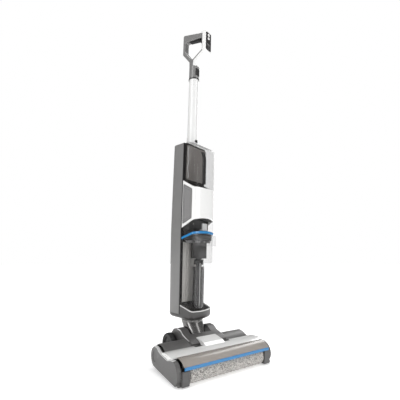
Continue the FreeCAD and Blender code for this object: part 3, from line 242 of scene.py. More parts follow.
@dataclass(frozen=True)
class Finish:
    """A solid finish: moulded plastic, paint, metal or rubber."""

    name: str
    slot: str
    colour: Colour
    shade: Colour
    roughness: float = 0.4
    metallic: float = 0.0
    coat: float = 0.0
    pattern: Pattern = Pattern.SPARK
    relief: float = 0.25
    grain: float = 1400.0
    wear: float = 0.06
    specular: float = 0.5

    def make(self) -> bpy.types.Material:
        """Mottled colour, uneven gloss and a fine relief, all from Object coordinates."""
        shader = Shader(bpy.data.materials.new(self.name))
        where = shader.place()
        cloud = shader.noise(where, 16.0, 4.0)
        colour = shader.blend(cloud, rgba(self.colour), rgba(self.shade))
        fine_where = where
        if self.pattern is Pattern.BRUSHED:
            fine_where = shader.stretched(where, (1.0, 1.0, 0.04))
        fine = shader.noise(fine_where, self.grain, 2.0)
        if self.pattern is Pattern.PILE:
            speck = shader.noise(where, 360.0, 3.0)
            light = ((speck - 0.36) * 4.5).clamped(0.0, 1.0)
            colour = shader.blend(light, rgba(self.shade), rgba(self.colour))
        dust = (shader.noise(where, 90.0, 5.0) - 0.62).clamped(0.0, 1.0)
        rough = (self.roughness + (cloud - 0.5) * self.wear + dust * 0.35).clamped(0.02, 1.0)
        normal = shader.bump(fine, self.relief, 0.0002)
        surface = shader.node("ShaderNodeBsdfPrincipled", None, {
            "Base Color": colour, "Roughness": rough, "Metallic": self.metallic,
            "Coat Weight": self.coat, "Coat Roughness": 0.06, "Specular IOR Level": self.specular,
            "Normal": normal}, "BSDF")
        return shader.finish(surface)


@dataclass(frozen=True)
class ClearFinish:
    """A clear or smoked plastic wall that shows what is behind it."""

    name: str
    slot: str
    colour: Colour
    film: float
    edge: float
    roughness: float = 0.08

    def make(self) -> bpy.types.Material:
        """Alpha grows from film, face on, to edge at a grazing angle; faint flow marks in the gloss."""
        shader = Shader(bpy.data.materials.new(self.name))
        where = shader.place()
        facing = shader.node("ShaderNodeLayerWeight", None, {"Blend": 0.35}, "Facing")
        flow = shader.noise(shader.stretched(where, (1.0, 1.0, 0.2)), 60.0, 2.0)
        alpha = self.film + (self.edge - self.film) * facing ** 4.0 + (flow - 0.5) * 0.04
        rough = (self.roughness + (flow - 0.5) * 0.05).clamped(0.02, 1.0)
        darker = tuple(part * 0.86 for part in self.colour)
        tint = shader.blend(flow, rgba(self.colour), rgba(darker))
        surface = shader.node("ShaderNodeBsdfPrincipled", None, {
            "Base Color": tint, "Roughness": rough, "Alpha": alpha.clamped(0.02, 1.0),
            "Coat Weight": 0.6, "Coat Roughness": 0.03}, "BSDF")
        return shader.finish(surface)


FOOT_GREY = Finish("satin_foot_grey", "foot_grey", (0.105, 0.102, 0.1), (0.085, 0.083, 0.082), 0.42,
                   coat=0.08)
DARK = Finish("dark_moulding", "dark_plastic", (0.016, 0.0155, 0.0155), (0.011, 0.011, 0.011), 0.4,
              specular=0.35)
BLACK_GLOSS = Finish("black_gloss", "dark_plastic", (0.012, 0.011, 0.012), (0.009, 0.009, 0.009), 0.14,
                     coat=0.6, pattern=Pattern.POLISHED, relief=0.05)
SILVER = Finish("bright_trim", "silver_trim", (0.78, 0.78, 0.77), (0.7, 0.7, 0.69), 0.22, 0.35, coat=0.4,
                relief=0.06)
STEEL = Finish("brushed_steel", "steel", (0.5, 0.5, 0.51), (0.4, 0.4, 0.41), 0.3, 1.0,
               pattern=Pattern.BRUSHED, relief=0.3)
RUBBER = Finish("soft_rubber", "rubber", (0.018, 0.018, 0.018), (0.026, 0.026, 0.026), 0.75, relief=0.5)
TYRE = Finish("tyre_rubber", "tyre", (0.012, 0.012, 0.012), (0.02, 0.02, 0.02), 0.6, relief=0.45)
PILE = Finish("roller_pile", "brush_pile", (0.62, 0.6, 0.57), (0.17, 0.16, 0.15), 0.95, pattern=Pattern.PILE,
              relief=0.9, grain=1900.0)
CORE = Finish("core_moulding", "core_plastic", (0.05, 0.05, 0.05), (0.03, 0.03, 0.03), 0.5)
WHITE = Finish("gloss_white", "gloss_white", (0.84, 0.84, 0.83), (0.8, 0.8, 0.79), 0.16, coat=0.7,
               pattern=Pattern.POLISHED, relief=0.03)
TUBE_WHITE = Finish("white_paint", "white_tube", (0.72, 0.72, 0.715), (0.69, 0.69, 0.685), 0.22, coat=0.6,
                    pattern=Pattern.POLISHED, relief=0.04)
BLUE = Finish("blue_gloss", "blue_gloss", (0.01, 0.21, 0.5), (0.008, 0.18, 0.45), 0.2, coat=0.6,
              pattern=Pattern.POLISHED, relief=0.04)
NECK = Finish("neck_lacquer", "neck_metal", (0.2, 0.195, 0.19), (0.14, 0.138, 0.136), 0.24, 0.75, coat=0.3,
              pattern=Pattern.BRUSHED, relief=0.1)
SHELL = Finish("shell_satin", "shell_grey", (0.235, 0.232, 0.23), (0.2, 0.198, 0.196), 0.36, 0.25, coat=0.1,
               pattern=Pattern.BRUSHED, relief=0.12)
CUP = Finish("cup_satin", "dark_plastic", (0.075, 0.073, 0.072), (0.06, 0.058, 0.057), 0.3, 0.3, coat=0.2,
             relief=0.1)
INLAY = Finish("inlay_metallic", "inlay_grey", (0.34, 0.335, 0.335), (0.29, 0.285, 0.285), 0.3, 0.45,
               coat=0.2, pattern=Pattern.BRUSHED, relief=0.15)
INLAY_RIM = Finish("inlay_rim", "inlay_grey", (0.13, 0.13, 0.13), (0.1, 0.1, 0.1), 0.35, 0.3)
FILTER = Finish("filter_felt", "filter_grey", (0.2, 0.2, 0.2), (0.13, 0.13, 0.135), 0.95, relief=0.9,
                grain=900.0)
LATCH = Finish("latch_satin", "latch_grey", (0.5, 0.5, 0.5), (0.42, 0.42, 0.42), 0.32, coat=0.2)
BATTERY = Finish("battery_case", "battery_case", (0.06, 0.06, 0.062), (0.04, 0.04, 0.042), 0.55, relief=0.4)
BOARD = Finish("board_lacquer", "board_green", (0.02, 0.14, 0.06), (0.012, 0.09, 0.04), 0.35, coat=0.3)
SMOKE = ClearFinish("smoked_clear", "smoke_clear", (0.06, 0.056, 0.052), 0.09, 0.85, 0.03)
CLEAR = ClearFinish("clear_wall", "smoke_clear", (0.12, 0.117, 0.114), 0.05, 0.8, 0.03)
VISOR = ClearFinish("visor_clear", "smoke_clear", (0.3, 0.3, 0.3), 0.1, 0.95, 0.04)
BRONZE = ClearFinish("bronze_window", "bronze_window", (0.52, 0.48, 0.44), 0.52, 0.85)
# Painted reflection: an opaque warm light grey for the dirty tank's rear wall and ribs, standing in for
# reflections seen through the clear tank.
REFLECTION_WALL = Finish("painted_reflection_wall", "smoke_clear", (0.5, 0.485, 0.465), (0.42, 0.41, 0.39), 0.45,
                   coat=0.3, relief=0.1)
SMOKE_WALL = Finish("smoked_wall", "smoke_clear", (0.2, 0.185, 0.175), (0.14, 0.13, 0.122), 0.4,
                    coat=0.3, relief=0.1)

MATERIALS: dict[str, bpy.types.Material] = {}


def material_of(finish: Finish | ClearFinish) -> bpy.types.Material:
    """The one material of a finish, made when it is first asked for."""
    if finish.name not in MATERIALS:
        MATERIALS[finish.name] = finish.make()
    return MATERIALS[finish.name]


# ------------------------------------------------------------------ surfaces


@dataclass
class Surface:
    """Points (n, 3) in metres, quads (m, 4), and any flat caps as loops of point numbers."""

    points: np.ndarray
    quads: np.ndarray
    caps: list[np.ndarray] = field(default_factory=list)


def grid_quads(rows: int, columns: int, around: bool, along: bool = False) -> np.ndarray:
    """Quads of a grid of points.

    Args:
        rows: Number of rows.
        columns: Points in a row.
        around: Close each row into a ring.
        along: Join the last row to the first.

    Returns:
        Point numbers, (m, 4).
    """
    r = np.arange(rows if along else rows - 1)[:, None]
    c = np.arange(columns if around else columns - 1)[None, :]
    r2, c2 = (r + 1) % rows, (c + 1) % columns
    quads = np.stack([r * columns + c, r * columns + c2, r2 * columns + c2, r2 * columns + c], -1)
    return quads.reshape(-1, 4)


def lofted(rings: np.ndarray, capped: bool = True, along: bool = False) -> Surface:
    """A skin over closed rings.

    Args:
        rings: Points (rows, columns, 3), one ring a row.
        capped: Close the two ends with flat caps.
        along: Join the last ring to the first, which needs no caps.

    Returns:
        The skin.
    """
    rows, columns = rings.shape[:2]
    caps = []
    if capped and not along:
        caps = [np.arange(columns)[::-1], np.arange(columns) + (rows - 1) * columns]
    return Surface(rings.reshape(-1, 3), grid_quads(rows, columns, True, along), caps)


def rounded_loop(outline: np.ndarray, radius: float, steps: int = 6) -> np.ndarray:
    """A polygon with each corner replaced by an arc: p = (1 - t)^2 start + 2 t (1 - t) corner + t^2 end.

    Args:
        outline: The polygon's corners, (n, 2).
        radius: How far the arc starts from its corner.
        steps: Points on each arc.

    Returns:
        The loop, (n * steps, 2).
    """
    before, after = np.roll(outline, 1, 0) - outline, np.roll(outline, -1, 0) - outline
    reach_in = radius * before / np.linalg.norm(before, axis=1)[:, None]
    reach_out = radius * after / np.linalg.norm(after, axis=1)[:, None]
    t = np.linspace(0, 1, steps)[None, :, None]
    start, end = (outline + reach_in)[:, None], (outline + reach_out)[:, None]
    return ((1 - t) ** 2 * start + 2 * t * (1 - t) * outline[:, None] + t ** 2 * end).reshape(-1, 2)


def shifted_loop(loop: np.ndarray, distance: float) -> np.ndarray:
    """A loop moved inwards along its own normals.

    Args:
        loop: Points, (n, 2).
        distance: How far, in the loop's unit.

    Returns:
        The moved loop, (n, 2).
    """
    along = np.roll(loop, -1, 0) - np.roll(loop, 1, 0)
    normal = np.stack([-along[:, 1], along[:, 0]], 1)
    normal /= np.linalg.norm(normal, axis=1)[:, None] + 1e-12
    area = np.sum(loop[:, 0] * np.roll(loop[:, 1], -1) - loop[:, 1] * np.roll(loop[:, 0], -1))
    return loop + normal * distance * np.sign(area)


def strip(path: np.ndarray, side: np.ndarray, out: np.ndarray, half: float, thick: float) -> Surface:
    """A ribbon with domed edges carried along a path: offset = s * side + lift(s) * out.

    Args:
        path: Points (n, 3) in metres.
        side: Direction across the ribbon, (3,) or (n, 3).
        out: Direction of its thickness, (3,) or (n, 3).
        half: Half width in metres.
        thick: Thickness in metres.

    Returns:
        A closed surface with two flat ends.
    """
    angle = np.linspace(0, 2 * math.pi, 16, endpoint=False)
    across = np.sign(np.cos(angle)) * np.abs(np.cos(angle)) ** 0.35 * half
    lift = np.sign(np.sin(angle)) * np.abs(np.sin(angle)) ** 0.6 * thick / 2
    side = np.broadcast_to(side, path.shape)
    out = np.broadcast_to(out, path.shape)
    rings = path[:, None] + across[None, :, None] * side[:, None] + lift[None, :, None] * out[:, None]
    return lofted(rings)


def smooth_path(points: np.ndarray, count: int) -> np.ndarray:
    """A Catmull-Rom curve through points.

    Args:
        points: Points to pass through, (n, 3).
        count: Samples along the curve.

    Returns:
        The curve, (count, 3).
    """
    ends = np.vstack([2 * points[0] - points[1], points, 2 * points[-1] - points[-2]])
    t = np.linspace(0, len(points) - 1 - 1e-9, count)
    i = t.astype(int)
    u = (t - i)[:, None]
    a, b, c, d = ends[i], ends[i + 1], ends[i + 2], ends[i + 3]
    square, cube = 2 * a - 5 * b + 4 * c - d, 3 * b - a - 3 * c + d
    return 0.5 * (2 * b + (c - a) * u + square * u ** 2 + cube * u ** 3)


def mesh_of(name: str, surface: Surface) -> bpy.types.Mesh:
    """A Blender mesh from a surface's arrays.

    Args:
        name: The mesh's name.
        surface: The surface, in metres.

    Returns:
        The mesh.
    """
    mesh = bpy.data.meshes.new(name)
    loops = np.concatenate([surface.quads.reshape(-1), *surface.caps]).astype(np.int32)
    sizes = np.array([4] * len(surface.quads) + [len(cap) for cap in surface.caps], np.int32)
    mesh.vertices.add(len(surface.points))
    mesh.vertices.foreach_set("co", surface.points.astype(np.float32).ravel())
    mesh.loops.add(len(loops))
    mesh.loops.foreach_set("vertex_index", loops)
    mesh.polygons.add(len(sizes))
    starts = np.concatenate([[0], np.cumsum(sizes)[:-1]]).astype(np.int32)
    mesh.polygons.foreach_set("loop_start", starts)
    mesh.update(calc_edges=True)
    mesh.validate()
    return mesh


def tidy_mesh(mesh: bpy.types.Mesh, merge: float, flat_angle: float = 0.0) -> None:
    """Merge doubled points, then join flat faces or turn the faces outwards.

    Args:
        mesh: The mesh, changed in place.
        merge: Points closer than this become one, in metres.
        flat_angle: Faces that meet flatter than this are joined, in degrees. At 0 no faces are joined, and
            the faces are turned outwards instead.
    """
    work = bmesh.new()
    work.from_mesh(mesh)
    bmesh.ops.remove_doubles(work, verts=work.verts, dist=merge)
    if flat_angle:
        limit = math.radians(flat_angle)
        bmesh.ops.dissolve_limit(work, angle_limit=limit, verts=work.verts, edges=work.edges)
    else:
        bmesh.ops.recalc_face_normals(work, faces=work.faces)
    work.to_mesh(mesh)
    work.free()


@dataclass
class Assembly:
    """A group of pieces that are made and dressed together."""

    made: list[str] = field(default_factory=list)

    def settle(self, piece: bpy.types.Object, body: str, finish: Finish | ClearFinish,
               stands_for: tuple[str, ...] = (), smooth: float = 40.0) -> bpy.types.Object:
        """Give a piece its finish in a material slot, smooth shading and body.

        Args:
            piece: The object, with its place in its mesh.
            body: The frame body that it rides on.
            finish: Its finish.
            stands_for: Frame nodes that it replaces.
            smooth: Edges sharper than this angle stay sharp.

        Returns:
            The same object.
        """
        piece.data.materials.clear()
        piece.data.materials.append(material_of(finish))
        piece.data.polygons.foreach_set("use_smooth", np.ones(len(piece.data.polygons), bool))
        piece.data.set_sharp_from_angle(angle=math.radians(smooth))
        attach(piece, body)
        if stands_for:
            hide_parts(*stands_for)
        self.made.append(piece.name)
        return piece

    def add(self, name: str, surface: Surface, body: str, finish: Finish | ClearFinish,
            stands_for: tuple[str, ...] = (), smooth: float = 40.0) -> bpy.types.Object:
        """A new piece from a surface.

        Args:
            name: The piece's name.
            surface: Its shape, in the frame's metres.
            body: The frame body that it rides on.
            finish: Its finish.
            stands_for: Frame nodes that it replaces.
            smooth: Edges sharper than this angle stay sharp.

        Returns:
            The new piece.
        """
        mesh = mesh_of(name, surface)
        tidy_mesh(mesh, DOUBLED)
        piece = bpy.data.objects.new(name, mesh)
        bpy.context.scene.collection.objects.link(piece)
        return self.settle(piece, body, finish, stands_for, smooth)

    def eased(self, node: str, finish: Finish | ClearFinish, width: float, segments: int = 2,
              angle: float = 35.0) -> bpy.types.Object:
        """A frame node's own shape with its edges broken by a small round.

        Args:
            node: The frame node, which the piece replaces.
            finish: Its finish.
            width: The round's width in millimetres.
            segments: Steps across the round.
            angle: Edges sharper than this are rounded.

        Returns:
            The new piece.
        """
        source = frame["nodes"][node]
        mesh = source.data.copy()
        mesh.name = f"{node}_eased"
        tidy_mesh(mesh, NODE_DOUBLED, NODE_FLAT)
        piece = bpy.data.objects.new(f"{node}_eased", mesh)
        bpy.context.scene.collection.objects.link(piece)
        round_off = piece.modifiers.new("edges", "BEVEL")
        round_off.width = width * MM
        round_off.segments = segments
        round_off.limit_method = "ANGLE"
        round_off.angle_limit = math.radians(angle)
        round_off.harden_normals = True
        return self.settle(piece, source["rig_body"], finish, (node,), angle)

    def dress(self, finish: Finish | ClearFinish, *nodes: str) -> None:
        """Give frame nodes that stay as they are a finish on their own slots.

        Args:
            finish: The finish.
            nodes: The frame nodes.
        """
        for node in nodes:
            item = frame["nodes"][node]
            for slot in item.material_slots:
                slot.material = material_of(finish)
            self.made.append(node)


# ------------------------------------------------------------------ the body's own axes


def joint(name: str) -> dict[str, object]:
    """A joint of the frame by name."""
    return next(j for j in frame["joints"] if j["name"] == name)


UP = np.array(joint("body_swivel")["axis"], float)
FORWARD = np.array(joint("dirty_tank_slide")["axis"], float)
SIDE = np.cross(UP, FORWARD)
SWIVEL = np.array(joint("body_swivel")["pos_m"], float)
AXES = np.stack([SIDE, -FORWARD, UP])
WALL_HALF = 55.0    # millimetres: half the body's width at its seam
WALL_TAPER = 3.0    # how much of that is lost on the way to the front
WALL_SEAM = 12.0    # how far back the seam is
WALL_RUN = 57.0     # from the seam to where the taper is complete


def in_body(points: np.ndarray) -> np.ndarray:
    """Points in the body's millimetres (side, back, up) moved into the frame in metres."""
    return SWIVEL + np.asarray(points, float) @ AXES * MM


def on_side(loop: np.ndarray, lift: float, sign: float) -> np.ndarray:
    """A loop laid on the tapering side wall: wall = half - taper (seam - back) / run.

    Args:
        loop: Points (back, up) in the body's millimetres, (n, 2).
        lift: Distance off the wall in millimetres.
        sign: -1 for the left side, 1 for the right.

    Returns:
        Points (n, 3) in the frame's metres.
    """
    wall = WALL_HALF - WALL_TAPER * (WALL_SEAM - loop[:, 0]) / WALL_RUN
    return in_body(np.stack([sign * (wall + lift), loop[:, 0], loop[:, 1]], 1))


def local_box(node: str) -> tuple[np.ndarray, np.ndarray]:
    """A node's box in the body's own axes.

    Args:
        node: The frame node.

    Returns:
        Its lowest and highest corners in the body's millimetres.
    """
    mesh = frame["nodes"][node].data
    flat = np.empty(len(mesh.vertices) * 3)
    mesh.vertices.foreach_get("co", flat)
    local = (flat.reshape(-1, 3) - SWIVEL) @ AXES.T / MM
    return local.min(0), local.max(0)


def frame_box(node: str) -> tuple[np.ndarray, np.ndarray]:
    """A node's lowest and highest corners in the frame's millimetres."""
    low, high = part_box(node)
    return np.array(low) / MM, np.array(high) / MM


def bead(loop: np.ndarray, radius: float, steps: int = 8) -> Surface:
    """A round bead carried round a closed loop: p = c + r(n cos a + b sin a).

    Args:
        loop: Points (n, 3) in metres.
        radius: The bead's radius in metres.
        steps: Points round the bead.

    Returns:
        A closed surface without caps.
    """
    along = np.roll(loop, -1, 0) - np.roll(loop, 1, 0)
    along /= np.linalg.norm(along, axis=1)[:, None]
    middle = loop.mean(0)
    normal = np.cross(along, loop - middle)
    normal /= np.linalg.norm(normal, axis=1)[:, None] + 1e-12
    other = np.cross(normal, along)
    angle = np.linspace(0, 2 * math.pi, steps, endpoint=False)
    cosine, sine = np.cos(angle)[None, :, None], np.sin(angle)[None, :, None]
    ring = cosine * normal[:, None] + sine * other[:, None]
    return lofted(loop[:, None] + radius * ring, capped=False, along=True)


def plate(loop: np.ndarray, out: np.ndarray, thick: float, ease: float) -> Surface:
    """A flat plate with eased edges: its rings step up by the lift and in towards the middle.

    Args:
        loop: The plate's outline, (n, 3) in metres.
        out: Direction of its thickness.
        thick: Thickness in metres.
        ease: Width of the eased edge in metres.

    Returns:
        The plate.
    """
    middle = loop.mean(0)
    inward = middle - loop
    inward /= np.linalg.norm(inward, axis=1)[:, None] + 1e-12
    levels = ((0.0, 0.0), (thick - ease, 0.0), (thick - ease * 0.3, ease * 0.3), (thick, ease))
    rings = np.stack([loop + out * lift + inward * draw for lift, draw in levels])
    return lofted(rings)


# ------------------------------------------------------------------ the foot


@dataclass
class Foot(Assembly):
    """The cleaning head: chassis, end caps, rear cover, motor and the parts under them."""

    edge: float = 0.9
    cap_edge: float = 1.6
    rib_count: int = 5
    rib_spacing: float = 7.0
    rib_start: float = 34.0
    rib_end: float = 22.0
    rib_drop: float = 6.0
    rib_slope: float = 0.62
    rib_share: float = 0.06

    def build(self) -> None:
        """Ease the housings' edges, keep the inner works, and add the ribs of the rear vent."""
        self.eased("end_cap_left", FOOT_GREY, self.cap_edge, 3)
        self.eased("end_cap_right", FOOT_GREY, self.cap_edge, 3)
        self.eased("rear_cover", FOOT_GREY, self.edge)
        self.eased("centre_housing", FOOT_GREY, self.cap_edge, 3)
        self.eased("foot_trims", SILVER, 0.5)
        self.eased("chassis", DARK, 0.5)
        self.dress(RUBBER, "squeegee", "drive_belt")
        self.dress(STEEL, "brush_motor", "foot_pins", "foot_screws")
        self.dress(DARK, "suction_duct", "motor_pulley")
        self.vents()

    def vents(self) -> None:
        """Shallow ribs on the housing's back, each a domed strip on a slope: z = top - k (y - y0)."""
        low, high = frame_box("centre_housing")
        width = (high[0] - low[0]) * 0.24
        for i in range(self.rib_count):
            x = (i - (self.rib_count - 1) / 2) * self.rib_spacing
            y = np.linspace(high[1] - self.rib_start, high[1] - self.rib_end, 10)
            top = high[2] - self.rib_drop - (y - (high[1] - self.rib_start)) * self.rib_slope
            path = np.stack([np.full_like(y, x), y, top + 0.3], 1) * MM
            half = width * self.rib_share * MM
            piece = strip(path, np.array([1.0, 0, 0]), np.array([0, 0.5, 0.86]), half, 1.2 * MM)
            self.add(f"housing_rib_{i}", piece, "root", DARK)


@dataclass
class Roller(Assembly):
    """The brush roller: a fluffy pile on its core, with the two end plugs."""

    turns: int = 3
    channel: float = 0.9
    channels: int = 6
    fluff: float = 0.55
    shoulder: float = 2.6
    shoulder_length: float = 4.0
    rows: int = 150
    columns: int = 400

    def build(self) -> None:
        """The pile r(x, a) = R - d max(0, cos(n a - k x))^10 - e random(x, a) - shoulder(x)."""
        low, high = frame_box("brush_pile")
        centre = np.array(joint("brush_spin")["pos_m"]) / MM
        full = (high[1] - low[1]) / 2
        rng = np.random.default_rng(7)
        x = np.linspace(low[0], high[0], self.rows)
        angle = np.linspace(0, 2 * math.pi, self.columns, endpoint=False)
        twist = 2 * math.pi * self.turns * (x[:, None] - low[0]) / (high[0] - low[0])
        swirl = np.cos(self.channels * angle[None, :] - twist)
        fluff = self.fluff * rng.random((self.rows, self.columns))
        end = np.minimum(x - x[0], x[-1] - x) / self.shoulder_length
        shoulder = self.shoulder * (1 - np.clip(end, 0, 1)) ** 2
        radius = full - self.channel * np.maximum(swirl, 0) ** 10 - fluff - shoulder[:, None]
        rings = np.stack([np.broadcast_to(x[:, None], radius.shape),
                          centre[1] + radius * np.cos(angle), centre[2] + radius * np.sin(angle)], -1)
        self.add("roller_pile", lofted(rings * MM), "brush", PILE, ("brush_pile",), 80)
        self.dress(CORE, "brush_core")
        self.dress(DARK, "bearing_plug", "drive_plug")


@dataclass
class Wheels(Assembly):
    """The two rear wheels with treaded tyres and spoked hubs."""

    groove: float = 1.0
    blocks: int = 36
    crown: float = 1.6
    seat: float = 0.4
    least_wall: float = 3.0
    smooth_band: float = 0.35

    def build(self) -> None:
        """Each tyre is a domed band r(x, a) = R - c x^4 with cross grooves at an even pitch."""
        for side in ("left", "right"):
            low, high = frame_box(f"tyre_{side}")
            centre = np.array(joint(f"wheel_{side}_spin")["pos_m"]) / MM
            full, half = (high[2] - low[2]) / 2, (high[0] - low[0]) / 2
            hub_low, hub_high = frame_box(f"wheel_hub_{side}")
            inner = min((hub_high[2] - hub_low[2]) / 2 - self.seat, full - self.least_wall)
            t = np.linspace(-1, 1, 15)
            crown = full - self.crown * t ** 4
            angle = np.linspace(0, 2 * math.pi, self.blocks * 8, endpoint=False)
            grooved = (np.cos(angle * self.blocks) > 0.7)[None, :] * (np.abs(t) > self.smooth_band)[:, None]
            outside = crown[:, None] - grooved * self.groove
            inside = np.full((2, len(angle)), inner)
            radius = np.vstack([outside, inside])
            place = np.concatenate([t, [1.0, -1.0]]) * half
            rings = np.stack([np.broadcast_to(centre[0] + place[:, None], radius.shape),
                              centre[1] + radius * np.cos(angle), centre[2] + radius * np.sin(angle)], -1)
            self.add(f"tyre_tread_{side}", lofted(rings * MM, along=True), f"wheel_{side}", TYRE,
                     (f"tyre_{side}",))
            self.eased(f"wheel_hub_{side}", DARK, 0.7)


@dataclass
class Cover(Assembly):
    """The lift-off brush cover with its window, blue strip and release buttons."""

    ridges: int = 4

    def build(self) -> None:
        """Finish the cover, ease its window and strip, and rib the two buttons."""
        self.dress(WHITE, "brush_cover")
        self.eased("window", BRONZE, 0.5)
        self.eased("bumper_strip", BLUE, 1.2, 3)
        for side in ("left", "right"):
            node = f"release_button_{side}"
            self.dress(BLACK_GLOSS, node)
            low, high = frame_box(node)
            for i in range(self.ridges):
                y = low[1] + (high[1] - low[1]) * (i + 1) / (self.ridges + 1)
                x = np.linspace(low[0] + 5, high[0] - 5, 12)
                path = np.stack([x, np.full_like(x, y), np.full_like(x, high[2])], 1) * MM
                rib = strip(path, np.array([0, 1.0, 0]), np.array([0, 0, 1.0]), 0.5 * MM, 0.8 * MM)
                self.add(f"button_rib_{side}_{i}", rib, f"cover_key_{side}", DARK)


# ------------------------------------------------------------------ the neck


@dataclass
class Neck(Assembly):
    """The tapering neck tube that the body turns on."""

    boss_side: float = 21.0
    boss_out: float = -25.5
    boss_height: float = -15.0
    boss_reach: float = 32.4

    def build(self) -> None:
        """The frame's own tube, with its edges eased and a burnished finish."""
        self.eased("neck_tube", NECK, 0.8, 3)
        self.bosses()

    def bosses(self) -> None:
        """Two oval bosses on the tube's front: an ellipse lifted in rings to a low dome."""
        angle = np.linspace(0, 2 * math.pi, 32, endpoint=False)
        for number, side in enumerate((-self.boss_side, self.boss_side)):
            normal = np.array([side, self.boss_out, 0.0]) / math.hypot(side, self.boss_out)
            across = np.array([-normal[1], normal[0], 0.0])
            centre = normal * self.boss_reach + np.array([0, 0, self.boss_height])
            t = np.linspace(0, 1, 6)[:, None]
            reach = np.cos(t * math.pi / 2 * 0.98)
            lift = -2.5 + 3.2 * np.sin(t * math.pi / 2)
            rings = (centre + (3.0 * reach * np.cos(angle))[..., None] * across
                     + (4.4 * reach * np.sin(angle))[..., None] * np.array([0, 0, 1.0])
                     + np.broadcast_to(lift, (6, 32))[..., None] * normal)
            self.add(f"neck_boss_{number}", lofted(in_body(rings)), "neck", NECK)


# ------------------------------------------------------------------ the body


@dataclass
class Shells(Assembly):
    """The body's outer shells, band, inlays and spine, with the works behind them."""

    inlay_outline: tuple[tuple[float, float], ...] = (
        (2.0, 303.0), (-34.0, 321.0), (-34.0, 419.0), (2.0, 439.0))
    inlay_corner: float = 6.0
    rim_inset: float = 1.2
    rim_lift: float = -0.5
    rim_radius: float = 0.9
    line_inset: float = 8.0
    line_lift: float = -0.75
    line_radius: float = 0.55

    def build(self) -> None:
        """Ease the shells and lay a bead round each inlay."""
        self.eased("base_cup", CUP, 1.0, 3)
        self.eased("cup_rim", SILVER, 0.6, 3)
        self.eased("back_shell", SHELL, 0.7, 2)
        self.eased("front_band", WHITE, 0.9, 3)
        self.eased("side_inlays", INLAY, 0.4)
        self.eased("spine_frame", DARK, 0.5)
        self.dress(BATTERY, "battery_pack")
        self.dress(STEEL, "suction_motor")
        self.dress(CORE, "water_pump")
        self.dress(BOARD, "circuit_board")
        self.inlay_rims()

    def inlay_rims(self) -> None:
        """A dark rim and an inner line round each inlay, both in the rim's dark finish, laid on the tapering
        side.
        """
        low, high = local_box("side_inlays")
        outline = np.array(self.inlay_outline)
        share = (outline - outline.min(0)) / (outline.max(0) - outline.min(0))
        loop = rounded_loop(share * (high[1:] - low[1:]) + low[1:], self.inlay_corner)
        for name, sign in (("left", -1.0), ("right", 1.0)):
            rim = on_side(shifted_loop(loop, self.rim_inset), self.rim_lift, sign)
            self.add(f"inlay_rim_{name}", bead(rim, self.rim_radius * MM), "main", INLAY_RIM)
            line = on_side(shifted_loop(loop, self.line_inset), self.line_lift, sign)
            self.add(f"inlay_line_{name}", bead(line, self.line_radius * MM), "main", INLAY_RIM)


@dataclass
class DirtyTank(Assembly):
    """The lower tank with its lid, blue ring, visor, filter and standpipe."""

    pleats: int = 84
    pleat_depth: float = 1.3
    wall_inset: float = 3.2
    wall_start: float = 22.0
    wall_stop: float = 30.0
    ribs: tuple[float, ...] = (-36.0, -24.0, 24.0)

    def build(self) -> None:
        """Clear walls round the standpipe, float and pleated filter."""
        self.eased("dirty_tank", CLEAR, 0.5)
        self.eased("lid_sides", CLEAR, 0.5)
        self.eased("pour_visor", VISOR, 0.6)
        self.eased("lid_ring", BLUE, 1.0, 3)
        self.eased("tank_lid", BLACK_GLOSS, 0.7)
        self.eased("standpipe", BLACK_GLOSS, 0.5)
        self.painted_column_highlights()
        self.eased("float_ring", RUBBER, 0.8)
        self.eased("tank_latch", LATCH, 0.9, 3)
        self.filter()
        self.rear_wall()

    def painted_column_highlights(self) -> None:
        """Painted highlights: two pale upright strips on the column's front, one long and one short,
        standing in for reflections on its dark gloss.
        """
        low, high = local_box("standpipe")
        for i, (x, start, end) in enumerate(((-11.0, 0.04, 0.66), (5.0, 0.5, 0.72))):
            height = low[2] + (high[2] - low[2]) * np.linspace(start, end, 24)
            path = in_body(np.stack([np.full(24, x), np.full(24, low[1] + 0.6), height], 1))
            # Painted highlight: each strip's pale latch finish stands in for a reflection on the glossy
            # column.
            self.add(f"painted_column_highlight_{i}", strip(path, SIDE, FORWARD, 1.3 * MM, 1.2 * MM), "dirty", LATCH)

    def rear_wall(self) -> None:
        """The rear wall inside the tank, tapering with it, and three upright ribs on its face, whose opaque
        warm light grey is a painted reflection of the bright surroundings.
        """
        low, high = local_box("dirty_tank")
        back = high[1] - self.wall_inset
        half = (high[0] - low[0]) / 2
        edge_low, edge_high = half * 0.85, half * 0.91
        bottom, top = low[2] + self.wall_start, high[2] - self.wall_stop
        loop = np.array([(-edge_low, back, bottom), (edge_low, back, bottom), (edge_high, back, top),
                         (-edge_high, back, top)])
        # Painted reflection: the plate's opaque warm light grey stands in for reflections on the clear tank.
        self.add("tank_rear_wall", plate(in_body(loop), FORWARD, 0.8 * MM, 0.3 * MM), "dirty", REFLECTION_WALL)
        height = np.linspace(bottom + 4, top - 4, 20)
        for i, x in enumerate(self.ribs):
            path = in_body(np.stack([np.full(20, x), np.full(20, back - 1.4), height], 1))
            self.add(f"tank_rib_{i}", strip(path, SIDE, FORWARD, 0.9 * MM, 1.4 * MM), "dirty", REFLECTION_WALL)

    def filter(self) -> None:
        """A pleated block: the filter's outline with every second point drawn in by the pleat's depth."""
        low, high = local_box("tank_filter")
        outline = np.array([(low[0], high[1]), (low[0] + 3, low[1] + 9), (-12, low[1]), (12, low[1]),
                            (high[0] - 3, low[1] + 9), (high[0], high[1])])
        loop = rounded_loop(outline, 6.0)
        step = np.linspace(0, len(loop), self.pleats * 2, endpoint=False)
        base = np.stack([np.interp(step, np.arange(len(loop) + 1), np.append(loop[:, i], loop[0, i]))
                         for i in (0, 1)], 1)
        base[::2] = shifted_loop(base, self.pleat_depth)[::2]
        height = np.linspace(low[2], high[2], 5)
        rings = np.stack([np.column_stack([base, np.full(len(base), h)]) for h in height])
        self.add("filter_pleats", lofted(in_body(rings)), "dirty", FILTER, ("tank_filter",), 20)


